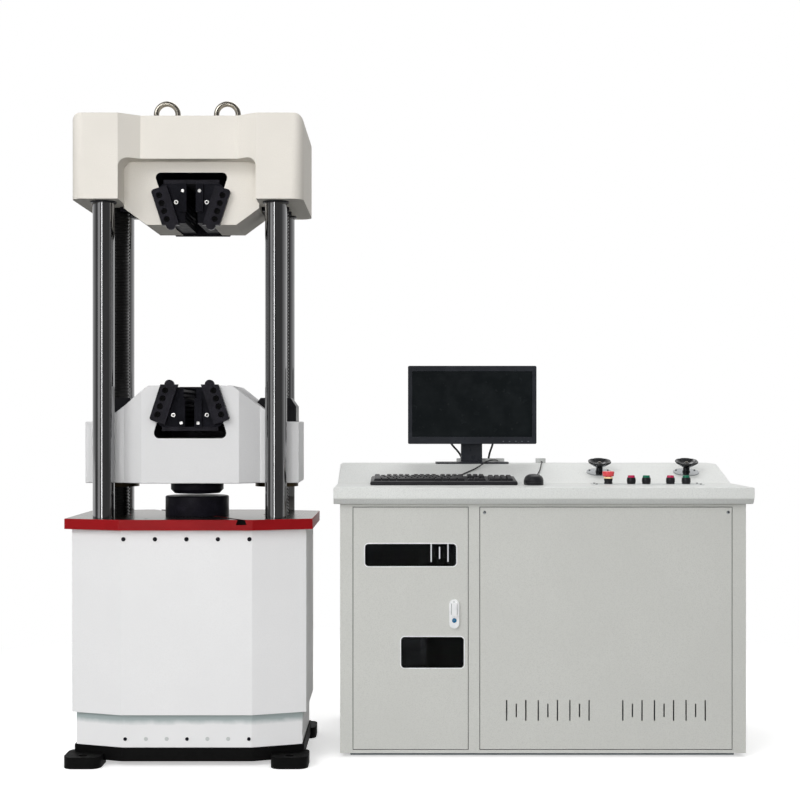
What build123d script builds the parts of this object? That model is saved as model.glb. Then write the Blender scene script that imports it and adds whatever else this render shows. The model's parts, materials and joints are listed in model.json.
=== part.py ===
from build123d import *
import math
import os

# A universal testing machine: a four column load frame and its control console, in millimetres.
# The origin is on the loading axis at the floor. +X is to the right, +Y to the back and +Z up.

# Fits used all over
SHEET = 3.0
RUN_GAP = 0.3
SEAT_GAP = 0.1
NEAR = 1.0

# Base plate and its lugs
BASE_LIFT = 14.0
BASE_TOP = 54.0
BASE_RIM = 5.0
LUG_WIDTH = 110.0
LUG_LENGTH = 120.0
LUG_EDGE = 28.0
LUG_HEIGHT = 34.0
LUG_ROUND = 30.0
ANCHOR_X = 303.0
ANCHOR_Y = 240.0
ANCHOR_DIAMETER = 26.0

# Sheet skirts, eight sided in plan, the upper one sliding over the lower one
SKIRT_HALF_X = 348.0
SKIRT_HALF_Y = 235.0
SKIRT_FLAT_X = 193.0
SKIRT_FLAT_Y = 180.0
SKIRT_LOW = 151.0
SKIRT_STEP = 12.0
LOWER_SKIRT_TOP = 330.0

# Work table with its dovetail slot
TABLE_LOW = 695.0
TABLE_THICK = 31.0
TABLE_OVERHANG = 20.0
TABLE_EDGE_ROUND = 2.0
TABLE_BOSS = 40.0
BOSS_GAP = 5.0
SLOT_EDGE_X = 163.0
SLOT_MOUTH = 18.0
SLOT_FLOOR = 27.0
SLOT_DEPTH = 15.0

# Columns and lead screws
COLUMN_X = 257.0
COLUMN_Y = 165.0
COLUMN_DIAMETER = 65.0
COLUMN_SEAT = 20.0
COLUMN_SOCKET = 100.0
SCREW_X = 246.0
SCREW_DIAMETER = 73.0
SCREW_ROOM = 5.0
SCREW_REACH = 31.0
SCREW_POCKET = 140.0

# Upper crosshead
HEAD_LOW = 1669.0
HEAD_TOP = 1922.0
HEAD_HALF_X = 342.0
HEAD_HALF_Y = 230.0
HEAD_CORNER = 35.0
HEAD_SHOULDER = 26.0
LOBE_X = 203.0
BROW_X = 144.0
BROW_SET_BACK = 45.0
POCKET_TOP = 1794.0
POCKET_ROUND = 30.0
WEB_HALF_Y = 130.0
CHIN_LOW = 1605.0
CHIN_SIDE = 1655.0
CHIN_HALF_X = 135.0

# Lifting eyes
EYE_X = 93.0
EYE_RING_DIAMETER = 67.0
EYE_ROD = 17.0
EYE_HEIGHT = 82.0
EYE_COLLAR = 44.0
EYE_COLLAR_HEIGHT = 9.0
EYE_SHANK = 24.0
EYE_SHANK_LENGTH = 36.0

# Moving crosshead, its nuts and their covers
MOVER_LOW = 828.0
MOVER_END_TOP = 1013.0
MOVER_TOP = 1121.0
MOVER_HALF_X = 322.0
MOVER_SHOULDER_X = 268.0
MOVER_TOP_X = 126.0
MOVER_FACE_X = 146.0
MOVER_FACET_X = 205.0
MOVER_HALF_Y = 160.0
MOVER_END_HALF_Y = 118.0
NUT_DIAMETER = 104.0
NUT_FLANGE = 132.0
NUT_FLANGE_THICK = 14.0
COVER_WIDTH = 128.0
COVER_TOP_WIDTH = 92.0
COVER_WALL_HEIGHT = 47.0
COVER_TAPER_HEIGHT = 26.0

# Wedge grips, measured from the mouth of the grip into its crosshead
GRIP_ANGLE = 18.0
GRIP_PROUD = 3.0
CAVITY_MOUTH = 61.0
CAVITY_DEPTH = 160.0
CAVITY_ROUND = 15.0
SIDE_PLATE_INNER = 34.0
SIDE_PLATE_WIDTH = 52.0
SIDE_PLATE_LENGTH = 126.0
SIDE_PLATE_THICK = 18.0
SIDE_PLATE_ROUND = 8.0
SIDE_HOLE_COUNT = 4
SIDE_HOLE_PITCH = 25.0
SIDE_HOLE_FIRST = 19.0
SIDE_HOLE_INSET = 20.0
SIDE_HOLE_DIAMETER = 11.0
SIDE_HOLE_SINK = 18.0
SIDE_SINK_DEPTH = 11.0
STOP_BUMP = 28.0
BACK_PLATE_LAP = 25.0
BACK_PLATE_THICK = 10.0
BACK_HOLE_DEPTH = 50.0
BACK_HOLE_DIAMETER = 13.0
JAW_START = 8.0
JAW_LENGTH = 118.0
JAW_THROAT = 18.0
JAW_BAR_THROAT = 14.0
JAW_BAR_WIDTH = 22.0
JAW_BAR_START = 42.0
JAW_BAR_PROUD = 9.0
JAW_TOOTH_PITCH = 14.0
JAW_TOOTH_DEPTH = 2.0
LIFTER_THICK = 12.0
LIFTER_HALF_X = 84.0

# Compression platens
PLATEN_GAP = 8.0
LOWER_PLATEN_DIAMETER = 195.0
LOWER_PLATEN_HEIGHT = 59.0
LOWER_PLATEN_ROUND = 5.0
UPPER_PLATEN_DIAMETER = 162.0
UPPER_PLATEN_BEVEL = 12.0

# Hydraulic cylinder and the chain drive inside the base
BARREL_DIAMETER = 196.0
BARREL_HEIGHT = 346.0
BARREL_FOOT = (300.0, 170.0)
BARREL_FOOT_THICK = 22.0
RAM_DIAMETER = 150.0
RAM_INSIDE = 190.0
RAM_FLANGE = 220.0
RAM_FLANGE_THICK = 24.0
BEARING_DIAMETER = 124.0
BEARING_HEIGHT = 52.0
CHAIN_LEVEL = 450.0
CHAIN_HEIGHT = 20.0
CHAIN_THICK = 8.0
SCREW_SPROCKET = 170.0
MOTOR_SPROCKET = 78.0
SPROCKET_THICK = 16.0
SPROCKET_TOOTH = 5.0
SPROCKET_TOOTH_PITCH = 24.0
TOOTH_SINK = 1.0
DRIVE_Y = 150.0
MOTOR_DIAMETER = 88.0
MOTOR_FOOT = 100.0
MOTOR_FOOT_THICK = 16.0
MOTOR_COLLAR = 44.0

# Console cabinet, its front frame, door and panels
CONSOLE_X = 1059.0
CONSOLE_FRONT = -110.0
CONSOLE_DEPTH = 640.0
PLINTH_HEIGHT = 12.0
PLINTH_INSET = 30.0
PLINTH_WIDTH = 40.0
STILE_LEFT = 38.0
STILE_MIDDLE = 33.0
STILE_RIGHT = 41.0
DOOR_OPENING = 350.0
VENT_OPENING = 764.0
RAIL_BOTTOM = 10.0
RAIL_TOP = 9.0
FRAME_DEPTH = 20.0
CABINET_TOP = 765.0
PANEL_GAP = 2.0
PANEL_FOLD = 16.0
PIN_INSET = 4.0
PIN_DIAMETER = 5.0
PIN_LENGTH = 6.0
WINDOW_LAP = 8.0
UPPER_WINDOW = (276.0, 68.0)
UPPER_WINDOW_PLACE = (0.0, 221.0)
LOWER_WINDOW = (190.0, 94.0)
LOWER_WINDOW_PLACE = (66.0, -73.0)
WINDOW_ROUND = 11.0

# Vent slots, in threes of long, short and long
VENT_SLOT_WIDTH = 4.0
VENT_LONG = 63.0
VENT_SHORT = 41.0
VENT_PITCH = 29.0
VENT_TRIPLE_PITCH = 95.5
VENT_TRIPLES = 3
VENT_GROUP_X = 175.4
VENT_HEIGHT = 141.0
BACK_VENT_X = -200.0
BACK_VENT_HEIGHT = 560.0

# Door lock
LOCK_X = 131.5
LOCK_HEIGHT = 433.0
LOCK_SIZE = (30.0, 87.0)
LOCK_THICK = 9.0
LEVER_WIDTH = 16.0
LEVER_LENGTH = 40.0
LEVER_THICK = 6.0
LEVER_TOP = 33.0
KEY_DROP = 19.0
KEY_DIAMETER = 13.5
KEY_PROUD = 2.0

# Desk top, drawn as a side profile
DESK_SIDE = 19.0
DESK_LIP = 30.0
DESK_THICK = 50.0
DESK_CHAMFER_HEIGHT = 17.0
DESK_CHAMFER_DEPTH = 14.0
DESK_FLAT = 320.0
DESK_SLOPE_RUN = 220.0
SHELF_HEIGHT = 55.0
SHELF_DEPTH = 160.0

# Controls on the desk, set back from its front edge
BUTTON_SET_BACK = 220.0
BUTTON_PLATE_X = 346.0
BUTTON_PLATE_SIZE = (346.0, 84.0)
BUTTON_PLATE_THICK = 2.0
BUTTON_PLATE_ROUND = 4.0
PAN_THICK = 1.5
STOP_X = -122.3
STOP_HEAD = 38.0
STOP_HEAD_HEIGHT = 17.0
STOP_STEM = 20.0
STOP_BASE = 31.0
STOP_BASE_HEIGHT = 17.0
STOP_CLEAR = 6.0
BUTTON_XS = (-49.9, -2.6, 73.3, 122.7)
COLLAR_DIAMETER = 28.0
COLLAR_HEIGHT = 20.0
CAP_DIAMETER = 22.0
CAP_PROUD = 7.0
CAP_CLEAR = 4.0
CAP_BEVEL = 1.5
VALVE_SET_BACK = 440.0
VALVE_XS = (224.8, 511.0)
DIAL_DIAMETER = 84.0
DIAL_THICK = 3.0
WHEEL_DIAMETER = 76.0
WHEEL_THICK = 17.0
WHEEL_FLARE = 10.0
WHEEL_HUB = 36.0
WHEEL_BOSS = 18.0
WHEEL_STEM = 25.0
WHEEL_STEM_HEIGHT = 20.0
WHEEL_LOBES = 6
WHEEL_NOTCH = 22.0
NOTCH_OUT = 5.5
WHEEL_DISH = 44.0
WHEEL_DISH_DEPTH = 7.0

# Units inside the cabinet
TANK_SIZE = (430.0, 400.0, 300.0)
TANK_X = 190.0
TANK_Y = 210.0
FILLER_X = 150.0
FILLER_DIAMETER = 60.0
PUMP_MOTOR_DIAMETER = 180.0
PUMP_MOTOR_HEIGHT = 260.0
TOWER_SIZE = (180.0, 400.0, 390.0)
TOWER_X = -440.0
TOWER_Y = 250.0
SOCKET_HALF = 60.0

# Monitor, keyboard and mouse, set from the console's middle and the desk's front edge
MONITOR_OFFSET = -188.0
MONITOR_SET_BACK = 560.0
MONITOR_CLEAR = 67.0
MONITOR_SIZE = (434.0, 264.0)
MONITOR_THICK = 20.0
MONITOR_ROUND = 5.0
BEZEL_SIDE = 14.0
BEZEL_TOP = 18.0
BEZEL_BOTTOM = 24.0
SCREEN_RECESS = 1.5
BULGE_SIZE = (300.0, 160.0)
BULGE_INSET = 63.0
BULGE_THICK = 25.0
STAND_SIZE = (247.0, 100.0)
STAND_SET_BACK = 595.0
STAND_THICK = 6.0
STAND_ROUND = 20.0
NECK_WIDTH = 72.0
NECK_THICK = 18.0
NECK_HEIGHT = 180.0
KEYBOARD_OFFSET = -295.0
KEYBOARD_SET_BACK = 160.0
KEYBOARD_SIZE = (460.0, 150.0)
KEYBOARD_FRONT_HEIGHT = 12.0
KEYBOARD_REAR_HEIGHT = 24.0
KEY_ROWS = 6
KEY_ROW_PITCH = 21.0
KEY_ROW_FIRST = 20.0
KEY_ROW_DEPTH = 17.0
KEY_HEIGHT = 7.0
KEY_MARGIN = 12.0
MOUSE_OFFSET = -13.0
MOUSE_SET_BACK = 200.0
MOUSE_SIZE = (61.0, 106.0)
MOUSE_HEIGHT = 34.0
MOUSE_ROUND = 14.0
MOUSE_RELIEF = 7.0
MOUSE_RELIEF_LENGTH = 6.0
MOUSE_RELIEF_HEIGHT = 9.0

# Cords, each with its diameter and the points of its route from the middle of the desk's front edge
ARC_SHARE = 0.45
GLAND_HEIGHT = 16.0
GLAND_SET_BACK = 655.0
GLAND_DEPTH = 30.0
WIDE_GLAND = (-237.0, -73.0)
NARROW_GLAND = (37.0, 69.0)
KEYBOARD_CORD = 4.5
KEYBOARD_ROUTE = [
    (-255.0, 310.0, 14.0), (-255.0, 342.0, 14.0), (-239.0, 386.0, 21.0), (-209.0, 432.0, 32.0),
    (-175.0, 476.0, 44.0), (-141.0, 520.0, 66.0), (-117.0, 560.0, 69.0), (-104.0, 600.0, 67.0),
    (-98.0, 633.0, 64.0), (-97.0, 664.0, 63.0)]
MOUSE_CORD = 3.6
MOUSE_ROUTE = [
    (-13.0, 259.0, 9.0), (-13.0, 284.0, 9.0), (-6.0, 326.0, 6.5), (7.0, 372.0, 16.5),
    (22.0, 418.0, 28.0), (33.0, 468.0, 41.0), (42.0, 522.0, 61.0), (48.0, 560.0, 62.0),
    (52.0, 600.0, 58.5), (54.0, 634.0, 60.0), (53.0, 664.0, 61.0)]
LEAD = 7.0
LEFT_LEAD_ROUTE = [
    (-273.0, 592.0, 185.0), (-273.0, 592.0, 159.0), (-266.0, 601.0, 136.0), (-252.0, 620.0, 115.0),
    (-234.0, 644.0, 97.0), (-221.0, 661.0, 79.0), (-216.0, 668.0, 61.0)]
RIGHT_LEAD_ROUTE = [
    (-112.0, 592.0, 185.0), (-112.0, 592.0, 159.0), (-113.0, 602.0, 135.0), (-117.0, 622.0, 114.0),
    (-122.0, 645.0, 97.0), (-126.0, 661.0, 79.0), (-128.0, 668.0, 60.0)]

# Derived places of the console
CABINET_WIDTH = STILE_LEFT + DOOR_OPENING + STILE_MIDDLE + VENT_OPENING + STILE_RIGHT
CABINET_LEFT = CONSOLE_X - CABINET_WIDTH / 2
CABINET_RIGHT = CONSOLE_X + CABINET_WIDTH / 2
CONSOLE_BACK = CONSOLE_FRONT + CONSOLE_DEPTH
FLOOR_TOP = PLINTH_HEIGHT + SHEET
OPENING_LOW = PLINTH_HEIGHT + RAIL_BOTTOM
OPENING_TOP = CABINET_TOP - RAIL_TOP
DOOR_LEFT = CABINET_LEFT + STILE_LEFT
DOOR_RIGHT = DOOR_LEFT + DOOR_OPENING
VENT_LEFT = DOOR_RIGHT + STILE_MIDDLE
VENT_RIGHT = VENT_LEFT + VENT_OPENING
DOOR_X = (DOOR_LEFT + DOOR_RIGHT) / 2
DOOR_Z = (OPENING_LOW + OPENING_TOP) / 2
DESK_FRONT = CONSOLE_FRONT - DESK_LIP
SLOPE_START = DESK_FRONT + DESK_FLAT
SLOPE_END = SLOPE_START + DESK_SLOPE_RUN
SHELF_END = SLOPE_END + SHELF_DEPTH
DESK_TOP = CABINET_TOP + DESK_THICK
SHELF_TOP = DESK_TOP + SHELF_HEIGHT
SLOPE_ANGLE = math.degrees(math.atan2(SHELF_HEIGHT, DESK_SLOPE_RUN))
BUTTON_X = CONSOLE_X + BUTTON_PLATE_X
BUTTON_Y = DESK_FRONT + BUTTON_SET_BACK
BUTTON_LEVEL = DESK_TOP + BUTTON_PLATE_THICK
VALVE_Y = DESK_FRONT + VALVE_SET_BACK
MONITOR_X = CONSOLE_X + MONITOR_OFFSET
MONITOR_Y = DESK_FRONT + MONITOR_SET_BACK
MONITOR_LOW = SHELF_TOP + MONITOR_CLEAR
BULGE_LOW = MONITOR_LOW + BULGE_INSET
STAND_Y = DESK_FRONT + STAND_SET_BACK
KEYBOARD_X = CONSOLE_X + KEYBOARD_OFFSET
KEYBOARD_FRONT = DESK_FRONT + KEYBOARD_SET_BACK
MOUSE_X = CONSOLE_X + MOUSE_OFFSET
MOUSE_Y = DESK_FRONT + MOUSE_SET_BACK
GLAND_Y = DESK_FRONT + GLAND_SET_BACK

# Derived levels and plans of the load frame
TABLE_TOP = TABLE_LOW + TABLE_THICK
SCREW_TOP = HEAD_LOW + SCREW_REACH
LOWER_PLATEN_TOP = TABLE_TOP + LOWER_PLATEN_HEIGHT
UPPER_PLATEN_LOW = LOWER_PLATEN_TOP + PLATEN_GAP
BROW_HALF_Y = HEAD_HALF_Y - BROW_SET_BACK
GRIP_SLOPE = math.tan(math.radians(GRIP_ANGLE))
UPPER_MOUTH = CHIN_LOW - GRIP_PROUD
LOWER_MOUTH = MOVER_TOP + GRIP_PROUD
BARREL_TOP = BASE_TOP + BARREL_HEIGHT
SPROCKET_LOW = CHAIN_LEVEL - SPROCKET_THICK / 2
SIDES = (-1, 1)


def block(x0, x1, y0, y1, z0, z1):
    """Box between two corners."""
    return Pos((x0 + x1) / 2, (y0 + y1) / 2, (z0 + z1) / 2) * Box(x1 - x0, y1 - y0, z1 - z0)


def drum(x, y, z0, z1, diameter):
    """Upright cylinder between two heights."""
    return Pos(x, y, (z0 + z1) / 2) * Cylinder(diameter / 2, z1 - z0)


def upright(plan, z0, z1):
    """Plan face raised between two heights."""
    return extrude(Pos(0, 0, z0) * plan, z1 - z0)


def front_prism(face, y0, y1):
    """Front view face, drawn in X and Z, made solid from y0 back to y1."""
    return extrude(Plane.XZ.offset(-y1) * face, y1 - y0)


def bar(x, z, y0, y1, diameter):
    """Level cylinder from front to back between y0 and y1."""
    return Pos(x, (y0 + y1) / 2, z) * Rot(90, 0, 0) * Cylinder(diameter / 2, y1 - y0)


def outline(points):
    """Closed face through the given points."""
    return Polygon(*points, align=None)


def mirrored_points(points):
    """Right half of an outline, bottom to top, with its mirror image on the left."""
    return points + [(-x, y) for x, y in reversed(points)]


def grown(plan, amount):
    """Plan with its edge moved out, or in, and its corners kept sharp."""
    return offset(plan, amount, kind=Kind.INTERSECTION)


def both_sides(solid):
    """A solid and its mirror image across the YZ plane."""
    return [solid, mirror(solid, Plane.YZ)]


def skirt_plan():
    right = [(SKIRT_FLAT_X, -SKIRT_HALF_Y), (SKIRT_HALF_X, -SKIRT_FLAT_Y)]
    right += [(SKIRT_HALF_X, SKIRT_FLAT_Y), (SKIRT_FLAT_X, SKIRT_HALF_Y)]
    return outline(mirrored_points(right))


def lower_skirt_plan():
    return grown(skirt_plan(), -SKIRT_STEP)


def screw_holes(diameter, z0, z1):
    return [drum(side * SCREW_X, 0, z0, z1, diameter) for side in SIDES]


def column_places():
    return [(x * COLUMN_X, y * COLUMN_Y) for x in SIDES for y in SIDES]


def base_plate():
    plate = upright(grown(lower_skirt_plan(), BASE_RIM), BASE_LIFT, BASE_TOP)
    lug_y = ANCHOR_Y + LUG_EDGE - LUG_LENGTH / 2
    holes = []
    for x in SIDES:
        for y in SIDES:
            lug = Pos(x * ANCHOR_X, y * lug_y) * RectangleRounded(LUG_WIDTH, LUG_LENGTH, LUG_ROUND)
            plate += upright(lug, 0, LUG_HEIGHT)
            holes.append(drum(x * ANCHOR_X, y * ANCHOR_Y, 0, BASE_TOP, ANCHOR_DIAMETER))
    return plate - holes


def skirt(plan, low, high):
    return upright(plan - grown(plan, -SHEET), low, high)


def dovetail_slot():
    """Slot across the table top along a diagonal through the loading axis."""
    run = Vector(-SLOT_EDGE_X, SKIRT_HALF_Y + TABLE_OVERHANG, 0).normalized()
    plane = Plane(origin=(0, 0, TABLE_TOP), x_dir=Vector(0, 0, 1).cross(run), z_dir=run)
    half = [(SLOT_FLOOR / 2, -SLOT_DEPTH), (SLOT_MOUTH / 2, 0)]
    return extrude(plane * outline(mirrored_points(half)), 2 * SKIRT_HALF_X, both=True)


def work_table():
    slab = upright(grown(skirt_plan(), TABLE_OVERHANG), TABLE_LOW, TABLE_TOP)
    slab = fillet(slab.faces().sort_by(Axis.Z)[-1].edges(), TABLE_EDGE_ROUND)
    boss_low = TABLE_LOW - TABLE_BOSS
    slab += upright(grown(skirt_plan(), -SHEET - BOSS_GAP), boss_low, TABLE_LOW)
    slab -= screw_holes(SCREW_DIAMETER + 2 * SCREW_ROOM, boss_low, TABLE_TOP)
    socket = COLUMN_DIAMETER + 2 * SEAT_GAP
    slab -= [drum(x, y, TABLE_TOP - COLUMN_SEAT, TABLE_TOP, socket) for x, y in column_places()]
    return slab - dovetail_slot()


def column(x, y):
    return drum(x, y, TABLE_TOP - COLUMN_SEAT, HEAD_LOW + COLUMN_SOCKET, COLUMN_DIAMETER)


def upper_crosshead():
    right = [(BROW_X, -BROW_HALF_Y), (LOBE_X, -HEAD_HALF_Y), (HEAD_HALF_X, -HEAD_HALF_Y)]
    right += [(HEAD_HALF_X, HEAD_HALF_Y), (LOBE_X, HEAD_HALF_Y), (BROW_X, BROW_HALF_Y)]
    casting = upright(outline(mirrored_points(right)), HEAD_LOW, HEAD_TOP)
    corners = casting.edges().filter_by(Axis.Z).filter_by(lambda e: abs(e.center().X) > LOBE_X + NEAR)
    casting = fillet(corners, HEAD_CORNER)
    front = outline(mirrored_points([(HEAD_HALF_X, HEAD_LOW), (HEAD_HALF_X, HEAD_TOP)]))
    front = fillet(front.vertices().group_by(Axis.Y)[-1], HEAD_SHOULDER)
    casting &= front_prism(front, -HEAD_HALF_Y, HEAD_HALF_Y)
    pocket = outline(mirrored_points([(LOBE_X, HEAD_LOW), (LOBE_X, POCKET_TOP)]))
    pocket = fillet(pocket.vertices().group_by(Axis.Y)[-1], POCKET_ROUND)
    casting -= front_prism(pocket, -HEAD_HALF_Y, -WEB_HALF_Y)
    casting -= front_prism(pocket, WEB_HALF_Y, HEAD_HALF_Y)
    chin = outline(mirrored_points([(CHIN_HALF_X, CHIN_LOW), (LOBE_X, CHIN_SIDE), (LOBE_X, HEAD_LOW)]))
    casting += front_prism(chin, -WEB_HALF_Y, WEB_HALF_Y)
    casting -= front_prism(grip_cavity(UPPER_MOUTH, 1), -WEB_HALF_Y, WEB_HALF_Y)
    socket = COLUMN_DIAMETER + 2 * SEAT_GAP
    casting -= [drum(x, y, HEAD_LOW, HEAD_LOW + COLUMN_SOCKET, socket) for x, y in column_places()]
    casting -= screw_holes(SCREW_DIAMETER + 2 * SCREW_ROOM, HEAD_LOW, HEAD_LOW + SCREW_POCKET)
    shank = EYE_SHANK + 2 * SEAT_GAP
    return casting - [drum(s * EYE_X, 0, HEAD_TOP - EYE_SHANK_LENGTH, HEAD_TOP, shank) for s in SIDES]


def eye_bolt(x):
    ring_z = HEAD_TOP + EYE_HEIGHT - (EYE_RING_DIAMETER + EYE_ROD) / 2
    ring = Pos(x, 0, ring_z) * Rot(90, 0, 0) * Torus(EYE_RING_DIAMETER / 2, EYE_ROD / 2)
    above = drum(x, 0, HEAD_TOP, HEAD_TOP + 2 * EYE_HEIGHT, 4 * EYE_RING_DIAMETER)
    bolt = (ring & above) + drum(x, 0, HEAD_TOP, HEAD_TOP + EYE_COLLAR_HEIGHT, EYE_COLLAR)
    return bolt + drum(x, 0, HEAD_TOP - EYE_SHANK_LENGTH, HEAD_TOP, EYE_SHANK)


def cavity_half(depth):
    """Half width of the grip cavity at a depth from the mouth."""
    return CAVITY_MOUTH + depth * GRIP_SLOPE


def grip_face(points, mouth, way):
    """Front view outline drawn as half width and depth, set at a mouth; way is 1 upwards."""
    return outline([(x, mouth + way * depth) for x, depth in points[::way]])


def grip_cavity(mouth, way):
    right = [(cavity_half(-GRIP_PROUD), -GRIP_PROUD), (cavity_half(CAVITY_DEPTH), CAVITY_DEPTH)]
    face = grip_face(mirrored_points(right), mouth, way)
    end = mouth + way * CAVITY_DEPTH
    return fillet(face.vertices().filter_by(lambda v: abs(v.Y - end) < NEAR), CAVITY_ROUND)


def side_plate(mouth, way, face_y):
    """Right front cover plate of a grip along its inclined way: stop bump and counterbored holes."""
    lean = math.radians(GRIP_ANGLE)
    along = (math.sin(lean), math.cos(lean))
    outer = SIDE_PLATE_INNER + SIDE_PLATE_WIDTH
    outer_length = SIDE_PLATE_LENGTH - SIDE_PLATE_WIDTH * along[0]
    points = [(SIDE_PLATE_INNER, 0), (outer, 0)]
    points.append((outer + outer_length * along[0], outer_length * along[1]))
    points.append((SIDE_PLATE_INNER + SIDE_PLATE_LENGTH * along[0], SIDE_PLATE_LENGTH * along[1]))
    face = grip_face(points, mouth, way)
    face = fillet(face.vertices().sort_by(Axis.X)[-1], SIDE_PLATE_ROUND)
    front = face_y - SIDE_PLATE_THICK
    plate = front_prism(face, front, face_y)
    plate += bar(outer - SIDE_PLATE_WIDTH / 2, mouth, front, face_y, STOP_BUMP)
    for i in range(SIDE_HOLE_COUNT):
        reach = SIDE_HOLE_FIRST + i * SIDE_HOLE_PITCH
        x = outer - SIDE_HOLE_INSET + reach * along[0]
        z = mouth + way * reach * along[1]
        plate -= bar(x, z, front, face_y, SIDE_HOLE_DIAMETER)
        plate -= bar(x, z, front, front + SIDE_SINK_DEPTH, SIDE_HOLE_SINK)
    return plate


def back_plate(mouth, way, face_y):
    """Rear cover of a grip cavity, with a small sight hole."""
    right = [(cavity_half(0) + BACK_PLATE_LAP, 0)]
    right.append((cavity_half(CAVITY_DEPTH) + BACK_PLATE_LAP, CAVITY_DEPTH))
    right.append((cavity_half(CAVITY_DEPTH), CAVITY_DEPTH + BACK_PLATE_LAP))
    face = grip_face(mirrored_points(right), mouth, way)
    plate = front_prism(face, face_y, face_y + BACK_PLATE_THICK)
    hole_z = mouth + way * BACK_HOLE_DEPTH
    return plate - bar(0, hole_z, face_y, face_y + BACK_PLATE_THICK, BACK_HOLE_DIAMETER)


def grip_plates(mouth, way, half_y):
    plates = both_sides(side_plate(mouth, way, -half_y))
    return Compound(plates + [back_plate(mouth, way, half_y)])


def jaw(mouth, way, half_y):
    """Right jaw: a wedge with a toothed gripping face and a keeper bar on its front."""
    end = JAW_START + JAW_LENGTH
    gap = RUN_GAP / math.cos(math.radians(GRIP_ANGLE))
    points = [(JAW_THROAT, JAW_START), (cavity_half(JAW_START) - gap, JAW_START)]
    points += [(cavity_half(end) - gap, end), (JAW_THROAT, end)]
    face = grip_face(points, mouth, way)
    face = fillet(face.vertices().sort_by(Axis.X)[-1], CAVITY_ROUND)
    wedge = front_prism(face, RUN_GAP - half_y, half_y - RUN_GAP)
    for i in range(int(JAW_LENGTH / JAW_TOOTH_PITCH)):
        low = JAW_START + i * JAW_TOOTH_PITCH
        tooth = [(JAW_THROAT, low), (JAW_THROAT + JAW_TOOTH_DEPTH, low + JAW_TOOTH_PITCH / 2)]
        tooth.append((JAW_THROAT, low + JAW_TOOTH_PITCH))
        wedge -= front_prism(grip_face(tooth, mouth, way), -half_y, half_y)
    keeper = [(JAW_BAR_THROAT, JAW_BAR_START), (JAW_BAR_THROAT + JAW_BAR_WIDTH, JAW_BAR_START)]
    keeper += [(JAW_BAR_THROAT + JAW_BAR_WIDTH, end), (JAW_BAR_THROAT, end)]
    front = RUN_GAP - half_y
    return wedge + front_prism(grip_face(keeper, mouth, way), front - JAW_BAR_PROUD, front)


def jaw_lifter(mouth, way, half_y):
    """Plate behind the wide ends of both jaws, which pushes them along their inclined ways."""
    low = JAW_START + JAW_LENGTH + RUN_GAP
    right = [(LIFTER_HALF_X, low), (LIFTER_HALF_X, low + LIFTER_THICK)]
    face = grip_face(mirrored_points(right), mouth, way)
    return front_prism(face, RUN_GAP - half_y, half_y - RUN_GAP)


def moving_crosshead_blank():
    right = [(MOVER_FACE_X, -MOVER_HALF_Y), (MOVER_FACET_X, -MOVER_END_HALF_Y)]
    right += [(MOVER_HALF_X, -MOVER_END_HALF_Y), (MOVER_HALF_X, MOVER_END_HALF_Y)]
    right += [(MOVER_FACET_X, MOVER_END_HALF_Y), (MOVER_FACE_X, MOVER_HALF_Y)]
    front = [(MOVER_HALF_X, MOVER_LOW), (MOVER_HALF_X, MOVER_END_TOP)]
    front += [(MOVER_SHOULDER_X, MOVER_END_TOP), (MOVER_TOP_X, MOVER_TOP)]
    casting = upright(outline(mirrored_points(right)), MOVER_LOW, MOVER_TOP)
    return casting & front_prism(outline(mirrored_points(front)), -MOVER_HALF_Y, MOVER_HALF_Y)


def moving_crosshead():
    casting = moving_crosshead_blank()
    casting -= front_prism(grip_cavity(LOWER_MOUTH, -1), -MOVER_HALF_Y, MOVER_HALF_Y)
    return casting - screw_holes(NUT_DIAMETER + 2 * SEAT_GAP, MOVER_LOW, MOVER_TOP)


def lead_screw_nut(x):
    """Flanged nut hung from below in an end block."""
    nut = drum(x, 0, MOVER_LOW - NUT_FLANGE_THICK, MOVER_LOW, NUT_FLANGE)
    nut += drum(x, 0, MOVER_LOW, MOVER_END_TOP, NUT_DIAMETER)
    return nut - drum(x, 0, MOVER_LOW - NUT_FLANGE_THICK, MOVER_END_TOP, SCREW_DIAMETER + 2 * RUN_GAP)


def nut_cover(x):
    """Square dust cover with a tapered top, cut to sit on the sloped shoulder."""
    wall_top = MOVER_END_TOP + COVER_WALL_HEIGHT
    top = wall_top + COVER_TAPER_HEIGHT
    cover = block(x - COVER_WIDTH / 2, x + COVER_WIDTH / 2, -COVER_WIDTH / 2, COVER_WIDTH / 2,
                  MOVER_END_TOP, wall_top)
    low_face = Pos(x, 0, wall_top) * Rectangle(COVER_WIDTH, COVER_WIDTH)
    cover += loft([low_face, Pos(x, 0, top) * Rectangle(COVER_TOP_WIDTH, COVER_TOP_WIDTH)])
    cover -= moving_crosshead_blank()
    return cover - drum(x, 0, MOVER_LOW, top, SCREW_DIAMETER + 2 * SCREW_ROOM)


def lower_platen():
    platen = drum(0, 0, TABLE_TOP, LOWER_PLATEN_TOP, LOWER_PLATEN_DIAMETER)
    return fillet(platen.edges().sort_by(Axis.Z)[-1], LOWER_PLATEN_ROUND)


def upper_platen():
    platen = drum(0, 0, UPPER_PLATEN_LOW, MOVER_LOW, UPPER_PLATEN_DIAMETER)
    return chamfer(platen.edges().sort_by(Axis.Z)[0], UPPER_PLATEN_BEVEL)


def lead_screw(x):
    return drum(x, 0, BASE_TOP, SCREW_TOP, SCREW_DIAMETER)


def screw_bearing(x):
    ring = drum(x, 0, BASE_TOP, BASE_TOP + BEARING_HEIGHT, BEARING_DIAMETER)
    return ring - drum(x, 0, BASE_TOP, BASE_TOP + BEARING_HEIGHT, SCREW_DIAMETER + 2 * RUN_GAP)


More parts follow.
